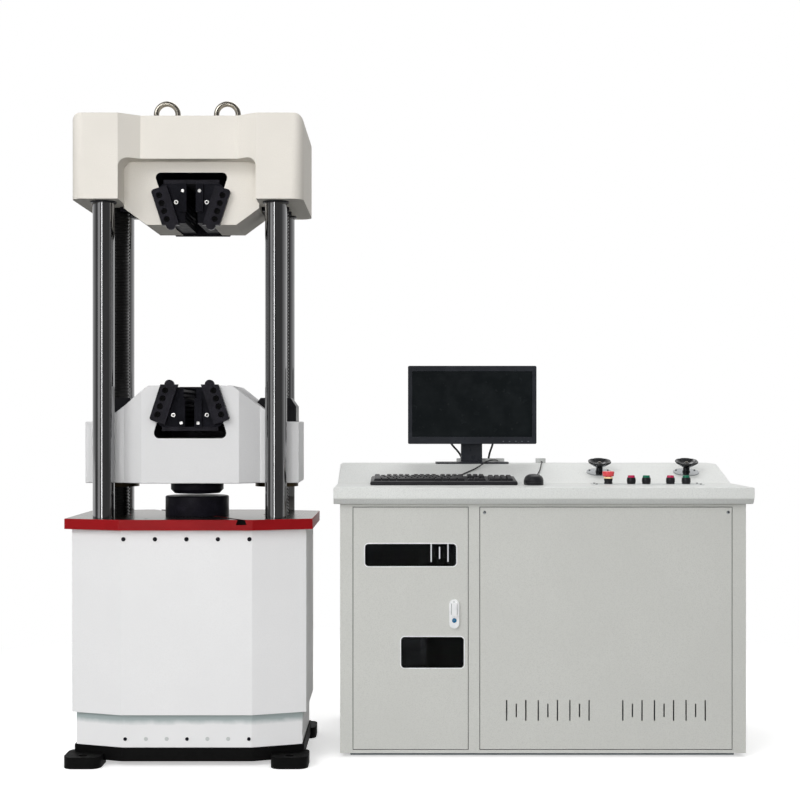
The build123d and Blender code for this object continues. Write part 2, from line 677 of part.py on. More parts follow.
def cylinder_barrel():
    barrel = drum(0, 0, BASE_TOP, BARREL_TOP, BARREL_DIAMETER)
    floor = BASE_TOP + BARREL_FOOT_THICK
    barrel += upright(Rectangle(*BARREL_FOOT), BASE_TOP, floor)
    return barrel - drum(0, 0, floor, BARREL_TOP, RAM_DIAMETER + 2 * RUN_GAP)


def ram_piston():
    top = TABLE_LOW - TABLE_BOSS
    ram = drum(0, 0, BARREL_TOP - RAM_INSIDE, top, RAM_DIAMETER)
    return ram + drum(0, 0, top - RAM_FLANGE_THICK, top, RAM_FLANGE)


def sprocket(x, y, diameter):
    """Chain wheel with pointed teeth round its rim."""
    top = SPROCKET_LOW + SPROCKET_THICK
    wheel = drum(x, y, SPROCKET_LOW, top, diameter - 2 * SPROCKET_TOOTH)
    count = int(math.pi * diameter / SPROCKET_TOOTH_PITCH)
    root = diameter / 2 - SPROCKET_TOOTH - TOOTH_SINK
    half = SPROCKET_TOOTH_PITCH / 4
    tooth = outline([(root, -half), (diameter / 2, 0), (root, half)])
    for i in range(count):
        wheel += Pos(x, y, 0) * Rot(0, 0, i * 360 / count) * upright(tooth, SPROCKET_LOW, top)
    return wheel


def screw_sprocket(x):
    bore = drum(x, 0, SPROCKET_LOW, SPROCKET_LOW + SPROCKET_THICK, SCREW_DIAMETER + 2 * SEAT_GAP)
    return sprocket(x, 0, SCREW_SPROCKET) - bore


def drive_motor():
    """Geared motor standing on the base plate, its collar just under the motor sprocket."""
    motor = drum(0, DRIVE_Y, BASE_TOP, BASE_TOP + MOTOR_FOOT_THICK, MOTOR_FOOT)
    motor += drum(0, DRIVE_Y, BASE_TOP, SPROCKET_LOW - CHAIN_HEIGHT, MOTOR_DIAMETER)
    return motor + drum(0, DRIVE_Y, BASE_TOP, SPROCKET_LOW - RUN_GAP, MOTOR_COLLAR)


def drive_chain():
    """Closed loop round both screw sprockets and the motor sprocket."""
    wheels = [Pos(s * SCREW_X, 0) * Circle(SCREW_SPROCKET / 2 + RUN_GAP) for s in SIDES]
    wheels.append(Pos(0, DRIVE_Y) * Circle(MOTOR_SPROCKET / 2 + RUN_GAP))
    inside = make_hull([edge for wheel in wheels for edge in wheel.edges()])
    loop = offset(inside, CHAIN_THICK) - inside
    return upright(loop, CHAIN_LEVEL - CHAIN_HEIGHT / 2, CHAIN_LEVEL + CHAIN_HEIGHT / 2)


def cabinet_body():
    """Sheet sides, floor and partition with the front frame, open at the back and the top."""
    back = CONSOLE_BACK
    body = block(CABINET_LEFT, CABINET_RIGHT, CONSOLE_FRONT, back, PLINTH_HEIGHT, CABINET_TOP)
    rear_of_frame = CONSOLE_FRONT + FRAME_DEPTH
    partition = DOOR_RIGHT + STILE_MIDDLE / 2
    body -= block(CABINET_LEFT + SHEET, partition - SHEET / 2, rear_of_frame, back, FLOOR_TOP, CABINET_TOP)
    body -= block(partition + SHEET / 2, CABINET_RIGHT - SHEET, rear_of_frame, back, FLOOR_TOP, CABINET_TOP)
    body -= block(CABINET_LEFT + SHEET, CABINET_RIGHT - SHEET, back - SHEET, back, FLOOR_TOP, CABINET_TOP)
    for left, right in ((DOOR_LEFT, DOOR_RIGHT), (VENT_LEFT, VENT_RIGHT)):
        body -= block(left, right, CONSOLE_FRONT, rear_of_frame, OPENING_LOW, OPENING_TOP)
    room = PIN_DIAMETER + 2 * RUN_GAP
    reach = PANEL_GAP + PIN_LENGTH
    return body - drum(hinge_x(), hinge_y(), OPENING_LOW - reach, OPENING_TOP + reach, room)


def plinth():
    inset = PLINTH_INSET
    outer = Rectangle(CABINET_WIDTH - 2 * inset, CONSOLE_DEPTH - 2 * inset)
    inner = grown(outer, -PLINTH_WIDTH)
    centre_y = (CONSOLE_FRONT + CONSOLE_BACK) / 2
    return upright(Pos(CONSOLE_X, centre_y) * (outer - inner), 0, PLINTH_HEIGHT)


def vent_slots(x, z, y0, y1):
    """One group of upright slots, in threes, through a panel between y0 and y1."""
    slots = []
    for triple in range(VENT_TRIPLES):
        middle = x + (triple - (VENT_TRIPLES - 1) / 2) * VENT_TRIPLE_PITCH
        for step, length in ((-1, VENT_LONG), (0, VENT_SHORT), (1, VENT_LONG)):
            face = Pos(middle + step * VENT_PITCH, z) * Rot(0, 0, 90) * SlotOverall(length, VENT_SLOT_WIDTH)
            slots.append(front_prism(face, y0, y1))
    return slots


def back_panel():
    y0 = CONSOLE_BACK - SHEET
    panel = block(CABINET_LEFT + SHEET, CABINET_RIGHT - SHEET, y0, CONSOLE_BACK, FLOOR_TOP, CABINET_TOP)
    return panel - vent_slots(CONSOLE_X + BACK_VENT_X, BACK_VENT_HEIGHT, y0, CONSOLE_BACK)


def folded_panel(left, right):
    """Front panel with its four edges folded back, inside a frame opening."""
    x0, x1 = left + PANEL_GAP, right - PANEL_GAP
    z0, z1 = OPENING_LOW + PANEL_GAP, OPENING_TOP - PANEL_GAP
    panel = block(x0, x1, CONSOLE_FRONT, CONSOLE_FRONT + PANEL_FOLD, z0, z1)
    y0 = CONSOLE_FRONT + SHEET
    return panel - block(x0 + SHEET, x1 - SHEET, y0, y0 + PANEL_FOLD, z0 + SHEET, z1 - SHEET)


def vent_panel():
    panel = folded_panel(VENT_LEFT, VENT_RIGHT)
    # The screwed panel sits on the bottom rail and against both stiles.
    panel += block(VENT_LEFT, VENT_RIGHT, CONSOLE_FRONT + PANEL_FOLD - SHEET, CONSOLE_FRONT + PANEL_FOLD,
                   OPENING_LOW, OPENING_LOW + PANEL_GAP + SHEET)
    centre = (VENT_LEFT + VENT_RIGHT) / 2
    for side in SIDES:
        panel -= vent_slots(centre + side * VENT_GROUP_X, VENT_HEIGHT, CONSOLE_FRONT, CONSOLE_FRONT + SHEET)
    return panel


def hinge_x():
    return DOOR_LEFT + PANEL_GAP + PIN_INSET


def hinge_y():
    return CONSOLE_FRONT + PIN_INSET


def door_windows_plan():
    """Size and centre of each window in the door, seen from the front."""
    upper = (UPPER_WINDOW, (DOOR_X + UPPER_WINDOW_PLACE[0], DOOR_Z + UPPER_WINDOW_PLACE[1]))
    lower = (LOWER_WINDOW, (DOOR_X + LOWER_WINDOW_PLACE[0], DOOR_Z + LOWER_WINDOW_PLACE[1]))
    return [upper, lower]


def cabinet_door():
    door = folded_panel(DOOR_LEFT, DOOR_RIGHT)
    for size, place in door_windows_plan():
        hole = Pos(*place) * RectangleRounded(*size, WINDOW_ROUND)
        door -= front_prism(hole, CONSOLE_FRONT, CONSOLE_FRONT + SHEET)
    low, high = OPENING_LOW + PANEL_GAP, OPENING_TOP - PANEL_GAP
    for z0, z1 in ((low - PIN_LENGTH, low + SHEET), (high - SHEET, high + PIN_LENGTH)):
        door += drum(hinge_x(), hinge_y(), z0, z1, PIN_DIAMETER)
    return door


def door_windows():
    panes = []
    y0 = CONSOLE_FRONT + SHEET
    for (width, height), place in door_windows_plan():
        pane = RectangleRounded(width + 2 * WINDOW_LAP, height + 2 * WINDOW_LAP, WINDOW_ROUND)
        panes.append(front_prism(Pos(*place) * pane, y0, y0 + SHEET))
    return Compound(panes)


def lock_body():
    """Pill shaped lock plate with its key cylinder."""
    width, height = LOCK_SIZE
    place = Pos(DOOR_X + LOCK_X, LOCK_HEIGHT)
    front = CONSOLE_FRONT - LOCK_THICK
    body = front_prism(place * Rot(0, 0, 90) * SlotOverall(height, width), front, CONSOLE_FRONT)
    return body + bar(DOOR_X + LOCK_X, LOCK_HEIGHT - KEY_DROP, front - KEY_PROUD, front, KEY_DIAMETER)


def lock_lever():
    """Lift out lever with a round top end on its pivot."""
    back = CONSOLE_FRONT - LOCK_THICK - RUN_GAP
    x = DOOR_X + LOCK_X
    top = LOCK_HEIGHT + LEVER_TOP
    x0, x1 = x - LEVER_WIDTH / 2, x + LEVER_WIDTH / 2
    lever = block(x0, x1, back - LEVER_THICK, back, top - LEVER_LENGTH, top)
    pivot = Pos(x, back - LEVER_THICK / 2, top) * Rot(0, 90, 0) * Cylinder(LEVER_THICK / 2, LEVER_WIDTH)
    return lever + pivot


def desk_profile():
    """Side view of the desk, as points in Y and Z."""
    return outline([
        (DESK_FRONT + DESK_CHAMFER_DEPTH, CABINET_TOP), (SHELF_END, CABINET_TOP), (SHELF_END, SHELF_TOP),
        (SLOPE_END, SHELF_TOP), (SLOPE_START, DESK_TOP), (DESK_FRONT, DESK_TOP),
        (DESK_FRONT, CABINET_TOP + DESK_CHAMFER_HEIGHT)])


def side_prism(face, x0, x1):
    """Side view face, drawn in Y and Z, made solid from x0 to x1."""
    return extrude(Plane.YZ.offset(x0) * face, x1 - x0)


def desk_top():
    """Folded sheet desk, hollow, with its underside open over the cabinet."""
    x0, x1 = CABINET_LEFT - DESK_SIDE, CABINET_RIGHT + DESK_SIDE
    desk = side_prism(desk_profile(), x0, x1)
    desk -= side_prism(grown(desk_profile(), -SHEET), x0 + SHEET, x1 - SHEET)
    inside_front = CONSOLE_FRONT + FRAME_DEPTH
    return desk - block(CABINET_LEFT + SHEET, CABINET_RIGHT - SHEET, inside_front, CONSOLE_BACK - SHEET,
                        CABINET_TOP, CABINET_TOP + SHEET)


def button_plate():
    return upright(Pos(BUTTON_X, BUTTON_Y) * RectangleRounded(*BUTTON_PLATE_SIZE, BUTTON_PLATE_ROUND),
                   DESK_TOP, BUTTON_LEVEL)


def button_collars():
    collars = []
    for x in BUTTON_XS:
        collar = drum(BUTTON_X + x, BUTTON_Y, BUTTON_LEVEL, BUTTON_LEVEL + COLLAR_HEIGHT, COLLAR_DIAMETER)
        bore = CAP_DIAMETER + 2 * RUN_GAP
        collars.append(collar - drum(BUTTON_X + x, BUTTON_Y, BUTTON_LEVEL + PAN_THICK,
                                     BUTTON_LEVEL + COLLAR_HEIGHT, bore))
    base = drum(BUTTON_X + STOP_X, BUTTON_Y, BUTTON_LEVEL, BUTTON_LEVEL + STOP_BASE_HEIGHT, STOP_BASE)
    collars.append(base - drum(BUTTON_X + STOP_X, BUTTON_Y, BUTTON_LEVEL + PAN_THICK,
                               BUTTON_LEVEL + STOP_BASE_HEIGHT, STOP_STEM + 2 * RUN_GAP))
    return Compound(collars)


def button_cap(x):
    top = BUTTON_LEVEL + COLLAR_HEIGHT + CAP_PROUD
    cap = drum(BUTTON_X + x, BUTTON_Y, BUTTON_LEVEL + PAN_THICK + CAP_CLEAR, top, CAP_DIAMETER)
    return chamfer(cap.edges().sort_by(Axis.Z)[-1], CAP_BEVEL)


def emergency_stop():
    """Mushroom head on a stem that goes down into its base."""
    head_low = BUTTON_LEVEL + STOP_BASE_HEIGHT + STOP_CLEAR
    head = drum(BUTTON_X + STOP_X, BUTTON_Y, head_low, head_low + STOP_HEAD_HEIGHT, STOP_HEAD)
    head = fillet(head.edges().sort_by(Axis.Z)[-1], STOP_HEAD_HEIGHT / 2)
    stem_low = BUTTON_LEVEL + PAN_THICK + STOP_CLEAR
    return head + drum(BUTTON_X + STOP_X, BUTTON_Y, stem_low, head_low, STOP_STEM)


def slope_plane(x):
    """Plane on the sloped desk at a valve, with its normal out of the desk."""
    rise = (VALVE_Y - SLOPE_START) * math.tan(math.radians(SLOPE_ANGLE))
    return Plane(origin=(CONSOLE_X + x, VALVE_Y, DESK_TOP + rise), x_dir=(1, 0, 0),
                 z_dir=(0, -math.sin(math.radians(SLOPE_ANGLE)), math.cos(math.radians(SLOPE_ANGLE))))


def valve_dial(x):
    return slope_plane(x) * drum(0, 0, 0, DIAL_THICK, DIAL_DIAMETER)


def handwheel(x):
    """Lobed and dished handwheel that flares from the hub on its stem, with a boss in the dish."""
    stem_low = DIAL_THICK + RUN_GAP
    low = stem_low + WHEEL_STEM_HEIGHT
    wheel = Pos(0, 0, low + WHEEL_FLARE / 2) * Cone(WHEEL_HUB / 2, WHEEL_DIAMETER / 2, WHEEL_FLARE)
    wheel += drum(0, 0, low + WHEEL_FLARE, low + WHEEL_THICK, WHEEL_DIAMETER)
    notch = drum(WHEEL_DIAMETER / 2 + NOTCH_OUT, 0, low, low + WHEEL_THICK, WHEEL_NOTCH)
    wheel -= [Rot(0, 0, i * 360 / WHEEL_LOBES) * notch for i in range(WHEEL_LOBES)]
    wheel -= drum(0, 0, low + WHEEL_THICK - WHEEL_DISH_DEPTH, low + WHEEL_THICK, WHEEL_DISH)
    wheel += drum(0, 0, low, low + WHEEL_THICK, WHEEL_BOSS)
    wheel += drum(0, 0, stem_low, low, WHEEL_STEM)
    return slope_plane(x) * wheel


def sheet_box(x, y, width, depth, z0, z1):
    """Closed box of sheet metal on a rectangular plan."""
    box = upright(Pos(x, y) * Rectangle(width, depth), z0, z1)
    inside = Rectangle(width - 2 * SHEET, depth - 2 * SHEET)
    return box - upright(Pos(x, y) * inside, z0 + SHEET, z1 - SHEET)


def hydraulic_unit():
    """Sheet oil tank with a filler hole and the pump motor standing on it."""
    width, depth, height = TANK_SIZE
    x = CONSOLE_X + TANK_X
    top = FLOOR_TOP + height
    tank = sheet_box(x, TANK_Y, width, depth, FLOOR_TOP, top)
    tank -= drum(x + FILLER_X, TANK_Y, top - SHEET, top, FILLER_DIAMETER)
    return tank + drum(x, TANK_Y, top, top + PUMP_MOTOR_HEIGHT, PUMP_MOTOR_DIAMETER)


def computer_tower():
    """Sheet case with a square opening for its sockets at the back."""
    width, depth, height = TOWER_SIZE
    x = CONSOLE_X + TOWER_X
    case = sheet_box(x, TOWER_Y, width, depth, FLOOR_TOP, FLOOR_TOP + height)
    socket_z = FLOOR_TOP + height / 2
    back = TOWER_Y + depth / 2
    return case - block(x - SOCKET_HALF, x + SOCKET_HALF, back - SHEET, back,
                        socket_z - SOCKET_HALF, socket_z + SOCKET_HALF)


def monitor():
    """Flat screen with a recessed panel and a shallow housing behind it."""
    width, height = MONITOR_SIZE
    top = MONITOR_LOW + height
    x0, x1 = MONITOR_X - width / 2, MONITOR_X + width / 2
    back = MONITOR_Y + MONITOR_THICK
    case = block(x0, x1, MONITOR_Y, back, MONITOR_LOW, top)
    case = fillet(case.edges().filter_by(Axis.Y), MONITOR_ROUND)
    case -= block(x0 + BEZEL_SIDE, x1 - BEZEL_SIDE, MONITOR_Y, MONITOR_Y + SCREEN_RECESS,
                  MONITOR_LOW + BEZEL_BOTTOM, top - BEZEL_TOP)
    bulge = block(MONITOR_X - BULGE_SIZE[0] / 2, MONITOR_X + BULGE_SIZE[0] / 2, back, back + BULGE_THICK,
                  BULGE_LOW, BULGE_LOW + BULGE_SIZE[1])
    return case + bulge


def monitor_stand():
    plate = Pos(MONITOR_X, STAND_Y) * RectangleRounded(*STAND_SIZE, STAND_ROUND)
    stand = upright(plate, SHELF_TOP, SHELF_TOP + STAND_THICK)
    y0 = MONITOR_Y + MONITOR_THICK + BULGE_THICK
    return stand + block(MONITOR_X - NECK_WIDTH / 2, MONITOR_X + NECK_WIDTH / 2, y0, y0 + NECK_THICK,
                         SHELF_TOP, SHELF_TOP + NECK_HEIGHT)


def keyboard():
    """Wedge shaped case with raised rows of keys."""
    width, depth = KEYBOARD_SIZE
    x0, x1 = KEYBOARD_X - width / 2, KEYBOARD_X + width / 2
    slope = (KEYBOARD_REAR_HEIGHT - KEYBOARD_FRONT_HEIGHT) / depth
    y0, y1 = KEYBOARD_FRONT, KEYBOARD_FRONT + depth
    side = [(y0, DESK_TOP), (y1, DESK_TOP), (y1, DESK_TOP + KEYBOARD_REAR_HEIGHT)]
    case = side_prism(outline(side + [(y0, DESK_TOP + KEYBOARD_FRONT_HEIGHT)]), x0, x1)
    for row in range(KEY_ROWS):
        near = KEY_ROW_FIRST + row * KEY_ROW_PITCH
        far = near + KEY_ROW_DEPTH
        low = DESK_TOP + KEYBOARD_FRONT_HEIGHT
        keys = [(y0 + near, low), (y0 + far, low), (y0 + far, low + far * slope + KEY_HEIGHT)]
        keys.append((y0 + near, low + near * slope + KEY_HEIGHT))
        case += side_prism(outline(keys), x0 + KEY_MARGIN, x1 - KEY_MARGIN)
    return case


def mouse():
    width, length = MOUSE_SIZE
    plan = Pos(MOUSE_X, MOUSE_Y) * Ellipse(width / 2, length / 2)
    shell = upright(plan, DESK_TOP, DESK_TOP + MOUSE_HEIGHT)
    shell = fillet(shell.edges().sort_by(Axis.Z)[-1], MOUSE_ROUND)
    nose = MOUSE_Y + length / 2
    return shell + bar(MOUSE_X, DESK_TOP + MOUSE_RELIEF_HEIGHT, nose - MOUSE_RELIEF_LENGTH,
                       nose + MOUSE_RELIEF_LENGTH, MOUSE_RELIEF)


def cord_glands():
    """Rubber entries on the shelf where the cords go into the desk."""
    top = SHELF_TOP + GLAND_HEIGHT
    return Compound([block(CONSOLE_X + x0, CONSOLE_X + x1, GLAND_Y, GLAND_Y + GLAND_DEPTH, SHELF_TOP, top)
                     for x0, x1 in (WIDE_GLAND, NARROW_GLAND)])


def cord(name, route, diameter):
    """Tube of straight runs and tangent arcs, each arc as large as its runs allow."""
    desk = Vector(CONSOLE_X, DESK_FRONT, DESK_TOP)
    points = [desk + Vector(*point) for point in route]
    radii = []
    for before, at, after in zip(points, points[1:], points[2:]):
        turn = (at - before).get_angle(after - at)
        shorter = min((at - before).length, (after - at).length)
        radii.append(ARC_SHARE * shorter / math.tan(math.radians(turn / 2)))
    path = FilletPolyline(*points, radius=radii)
    start = Plane(origin=points[0], z_dir=points[1] - points[0])
    tube = sweep(start * Circle(diameter / 2), path=path)
    section = math.pi * diameter ** 2 / 4
    print(f"{name}: length {path.length:.0f} mm, least radius {min(radii):.0f} mm,",
          f"volume over section times length {tube.volume / (section * path.length):.4f}")
    return tube


def parts():
    """Every node of the machine by name."""
    upper_jaws = both_sides(jaw(UPPER_MOUTH, 1, WEB_HALF_Y))
    lower_jaws = both_sides(jaw(LOWER_MOUTH, -1, MOVER_HALF_Y))
    nodes = {
        "base_plate": base_plate(),
        "lower_skirt": skirt(lower_skirt_plan(), BASE_TOP, LOWER_SKIRT_TOP),
        "upper_skirt": skirt(skirt_plan(), SKIRT_LOW, TABLE_LOW),
        "work_table": work_table(),
        "columns": Compound([column(x, y) for x, y in column_places()]),
        "upper_crosshead": upper_crosshead(),
        "eye_bolts": Compound([eye_bolt(side * EYE_X) for side in SIDES]),
        "upper_grip_plates": grip_plates(UPPER_MOUTH, 1, WEB_HALF_Y),
        "upper_jaw_right": upper_jaws[0],
        "upper_jaw_left": upper_jaws[1],
        "upper_jaw_lifter": jaw_lifter(UPPER_MOUTH, 1, WEB_HALF_Y),
        "moving_crosshead": moving_crosshead(),
        "lead_screw_nuts": Compound([lead_screw_nut(side * SCREW_X) for side in SIDES]),
        "nut_covers": Compound(both_sides(nut_cover(SCREW_X))),
        "lower_grip_plates": grip_plates(LOWER_MOUTH, -1, MOVER_HALF_Y),
        "lower_jaw_right": lower_jaws[0],
        "lower_jaw_left": lower_jaws[1],
        "lower_jaw_lifter": jaw_lifter(LOWER_MOUTH, -1, MOVER_HALF_Y),
        "lower_platen": lower_platen(),
        "upper_platen": upper_platen(),
        "lead_screw_left": lead_screw(-SCREW_X),
        "lead_screw_right": lead_screw(SCREW_X),
        "screw_bearings": Compound([screw_bearing(side * SCREW_X) for side in SIDES]),
        "cylinder_barrel": cylinder_barrel(),
        "ram_piston": ram_piston(),
        "sprocket_left": screw_sprocket(-SCREW_X),
        "sprocket_right": screw_sprocket(SCREW_X),
        "motor_sprocket": sprocket(0, DRIVE_Y, MOTOR_SPROCKET),
        "drive_motor": drive_motor(),
        "drive_chain": drive_chain(),
        "cabinet_body": cabinet_body(),
        "plinth": plinth(),
        "back_panel": back_panel(),
        "vent_panel": vent_panel(),
        "cabinet_door": cabinet_door(),
        "door_windows": door_windows(),
        "lock_body": lock_body(),
        "lock_lever": lock_lever(),
        "desk_top": desk_top(),
        "button_plate": button_plate(),
        "button_collars": button_collars(),
        "emergency_stop": emergency_stop(),
        "valve_dials": Compound([valve_dial(x) for x in VALVE_XS]),
        "feed_handwheel": handwheel(VALVE_XS[0]),
        "return_handwheel": handwheel(VALVE_XS[1]),
        "hydraulic_unit": hydraulic_unit(),
        "computer_tower": computer_tower(),
        "monitor": monitor(),
        "monitor_stand": monitor_stand(),
        "keyboard": keyboard(),
        "mouse": mouse(),
        "cord_glands": cord_glands(),
        "keyboard_cord": cord("keyboard_cord", KEYBOARD_ROUTE, KEYBOARD_CORD),
        "mouse_cord": cord("mouse_cord", MOUSE_ROUTE, MOUSE_CORD),
        "monitor_power_lead": cord("monitor_power_lead", LEFT_LEAD_ROUTE, LEAD),
        "monitor_signal_lead": cord("monitor_signal_lead", RIGHT_LEAD_ROUTE, LEAD),
    }
    buttons = ("pump_stop_button", "pump_start_button", "drive_stop_button", "drive_start_button")
    for name, x in zip(buttons, BUTTON_XS):
        nodes[name] = button_cap(x)
    return nodes


def main():
    os.makedirs("parts", exist_ok=True)
    for name, shape in parts().items():
        export_step(shape, f"parts/{name}.step")


if __name__ == "__main__":
    main()
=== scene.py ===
import json
import math

import bmesh
import bpy
from mathutils import Matrix, Vector


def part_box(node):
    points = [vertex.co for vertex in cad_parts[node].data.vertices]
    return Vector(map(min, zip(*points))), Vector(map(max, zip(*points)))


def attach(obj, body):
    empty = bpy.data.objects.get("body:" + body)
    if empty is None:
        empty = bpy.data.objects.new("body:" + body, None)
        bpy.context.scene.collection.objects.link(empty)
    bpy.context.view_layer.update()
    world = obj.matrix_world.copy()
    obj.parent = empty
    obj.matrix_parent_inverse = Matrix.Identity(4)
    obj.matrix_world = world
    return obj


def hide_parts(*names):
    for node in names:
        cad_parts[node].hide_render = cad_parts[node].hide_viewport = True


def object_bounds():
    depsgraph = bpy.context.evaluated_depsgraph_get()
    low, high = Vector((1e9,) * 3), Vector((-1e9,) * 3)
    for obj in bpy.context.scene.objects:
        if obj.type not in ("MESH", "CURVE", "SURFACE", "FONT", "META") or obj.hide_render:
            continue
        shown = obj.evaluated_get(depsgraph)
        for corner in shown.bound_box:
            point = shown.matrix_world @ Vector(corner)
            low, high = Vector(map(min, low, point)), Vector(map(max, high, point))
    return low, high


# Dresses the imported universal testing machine: finishes on every node, cords, threads and small fittings.
# The part's frame has +X right, +Y to the back, +Z up and its origin on the loading axis.
# Blender works in metres; sizes and places here are millimetres, turned into metres by MM.

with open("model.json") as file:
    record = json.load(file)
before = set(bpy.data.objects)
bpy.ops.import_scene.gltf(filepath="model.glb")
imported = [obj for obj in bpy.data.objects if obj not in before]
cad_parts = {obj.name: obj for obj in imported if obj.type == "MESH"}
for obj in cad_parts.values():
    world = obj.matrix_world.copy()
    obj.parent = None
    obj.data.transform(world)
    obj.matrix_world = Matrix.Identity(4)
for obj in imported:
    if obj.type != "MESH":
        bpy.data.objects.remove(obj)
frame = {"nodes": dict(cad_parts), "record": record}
cad_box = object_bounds()
nodes = frame["nodes"]
MM = 0.001
SIDES = (-1, 1)

# Camera of the photograph
CAMERA_PLACE = (627, -4600, 1018)
CAMERA_LENS = 66.9
CAMERA_SENSOR = 36.0
CAMERA_SHIFT_Y = 0.025

# Lead screws
SCREW_X = 246
SCREW_RADIUS = 36.5
THREAD_PITCH = 10
THREAD_DEPTH = 3.5
THREAD_LOW = 600
THREAD_TOP = 1700

# Underside of the upper crosshead, the columns there and the bolts round each lead screw
HEAD_LOW = 1669
COLUMN_X = 257
COLUMN_Y = 165
BOLT_X = 29
BOLT_Y = 50

# Screws and plugs along the skirts
SKIRT_SCREWS = (-185, -92.5, 0, 92.5, 185)
SKIRT_SCREW_DROP = 27
FOOT_SCREWS = (-182, 0, 182)
FOOT_PLUGS = (-121, -60, 60, 121)
FOOT_ROW_RISE = 25

# Wedge grips, drawn from the mouth inwards
GRIP_TILT = math.radians(18)
UPPER_MOUTH = 1602
LOWER_MOUTH = 1124
GRIP_BOLT_LINE = 66
GRIP_BOLT_FIRST = 19
GRIP_BOLT_PITCH = 25
GRIP_BOLTS = 4
COUNTERBORE_DEPTH = 11
KEEPER_X = 25
KEEPER_PROUD = 9

# Console controls
VALVE_NORMAL = Vector((0, -0.2425, 0.9701))
VALVE_UP = Vector((0, 0.9701, 0.2425))
VALVE_Y = 300
VALVE_Z = 845
WHEEL_LOBES = 6
WHEEL_NOTCH = 3.2
WHEEL_SCREW_RISE = 33.6
DIAL_SCREW_RADIUS = 35
DIAL_THICK = 3
BUTTON_Y = 80
STOP_X = 1282.7
STOP_COLLAR_RISE = 17
STOP_HEAD_RISE = 17
DOOR_WINDOWS = ((659, 610, 276, 68), (725, 316, 190, 94))
WINDOW_ROUND = 11
LOCK_KEY_Z = 414

# Cabinet sheet and the dovetail slot in the table
SHEET = 3
TABLE_SLOT_REACH = 176
TABLE_SLOT_DEEP = 17

# Size of the grain in powder coat, as waves to the metre
SPECKLE_SCALE = 330.0

# Height of the painted shadow that the upper skirt's edge throws on the lower one, and how ragged its edge is
SHADOW_BAND_HEIGHT = 24
SHADOW_BAND_RAGGED = 14

# Room that the wedges run in, inside each crosshead
CAVITY_HALF_X = 115
CAVITY_DEPTH = 161
WEB_HALF_Y = 130

# Main paint colours
CREAM = (0.80, 0.765, 0.705)
WHITE = (0.82, 0.82, 0.825)
GREY = (0.61, 0.615, 0.585)
DESK = (0.76, 0.775, 0.755)
RED = (0.30, 0.007, 0.010)
BARE_IRON = (0.012, 0.012, 0.013)


def span(node):
    """Lowest and highest corners of a node at rest, in millimetres."""
    low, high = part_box(node)
    return low / MM, high / MM


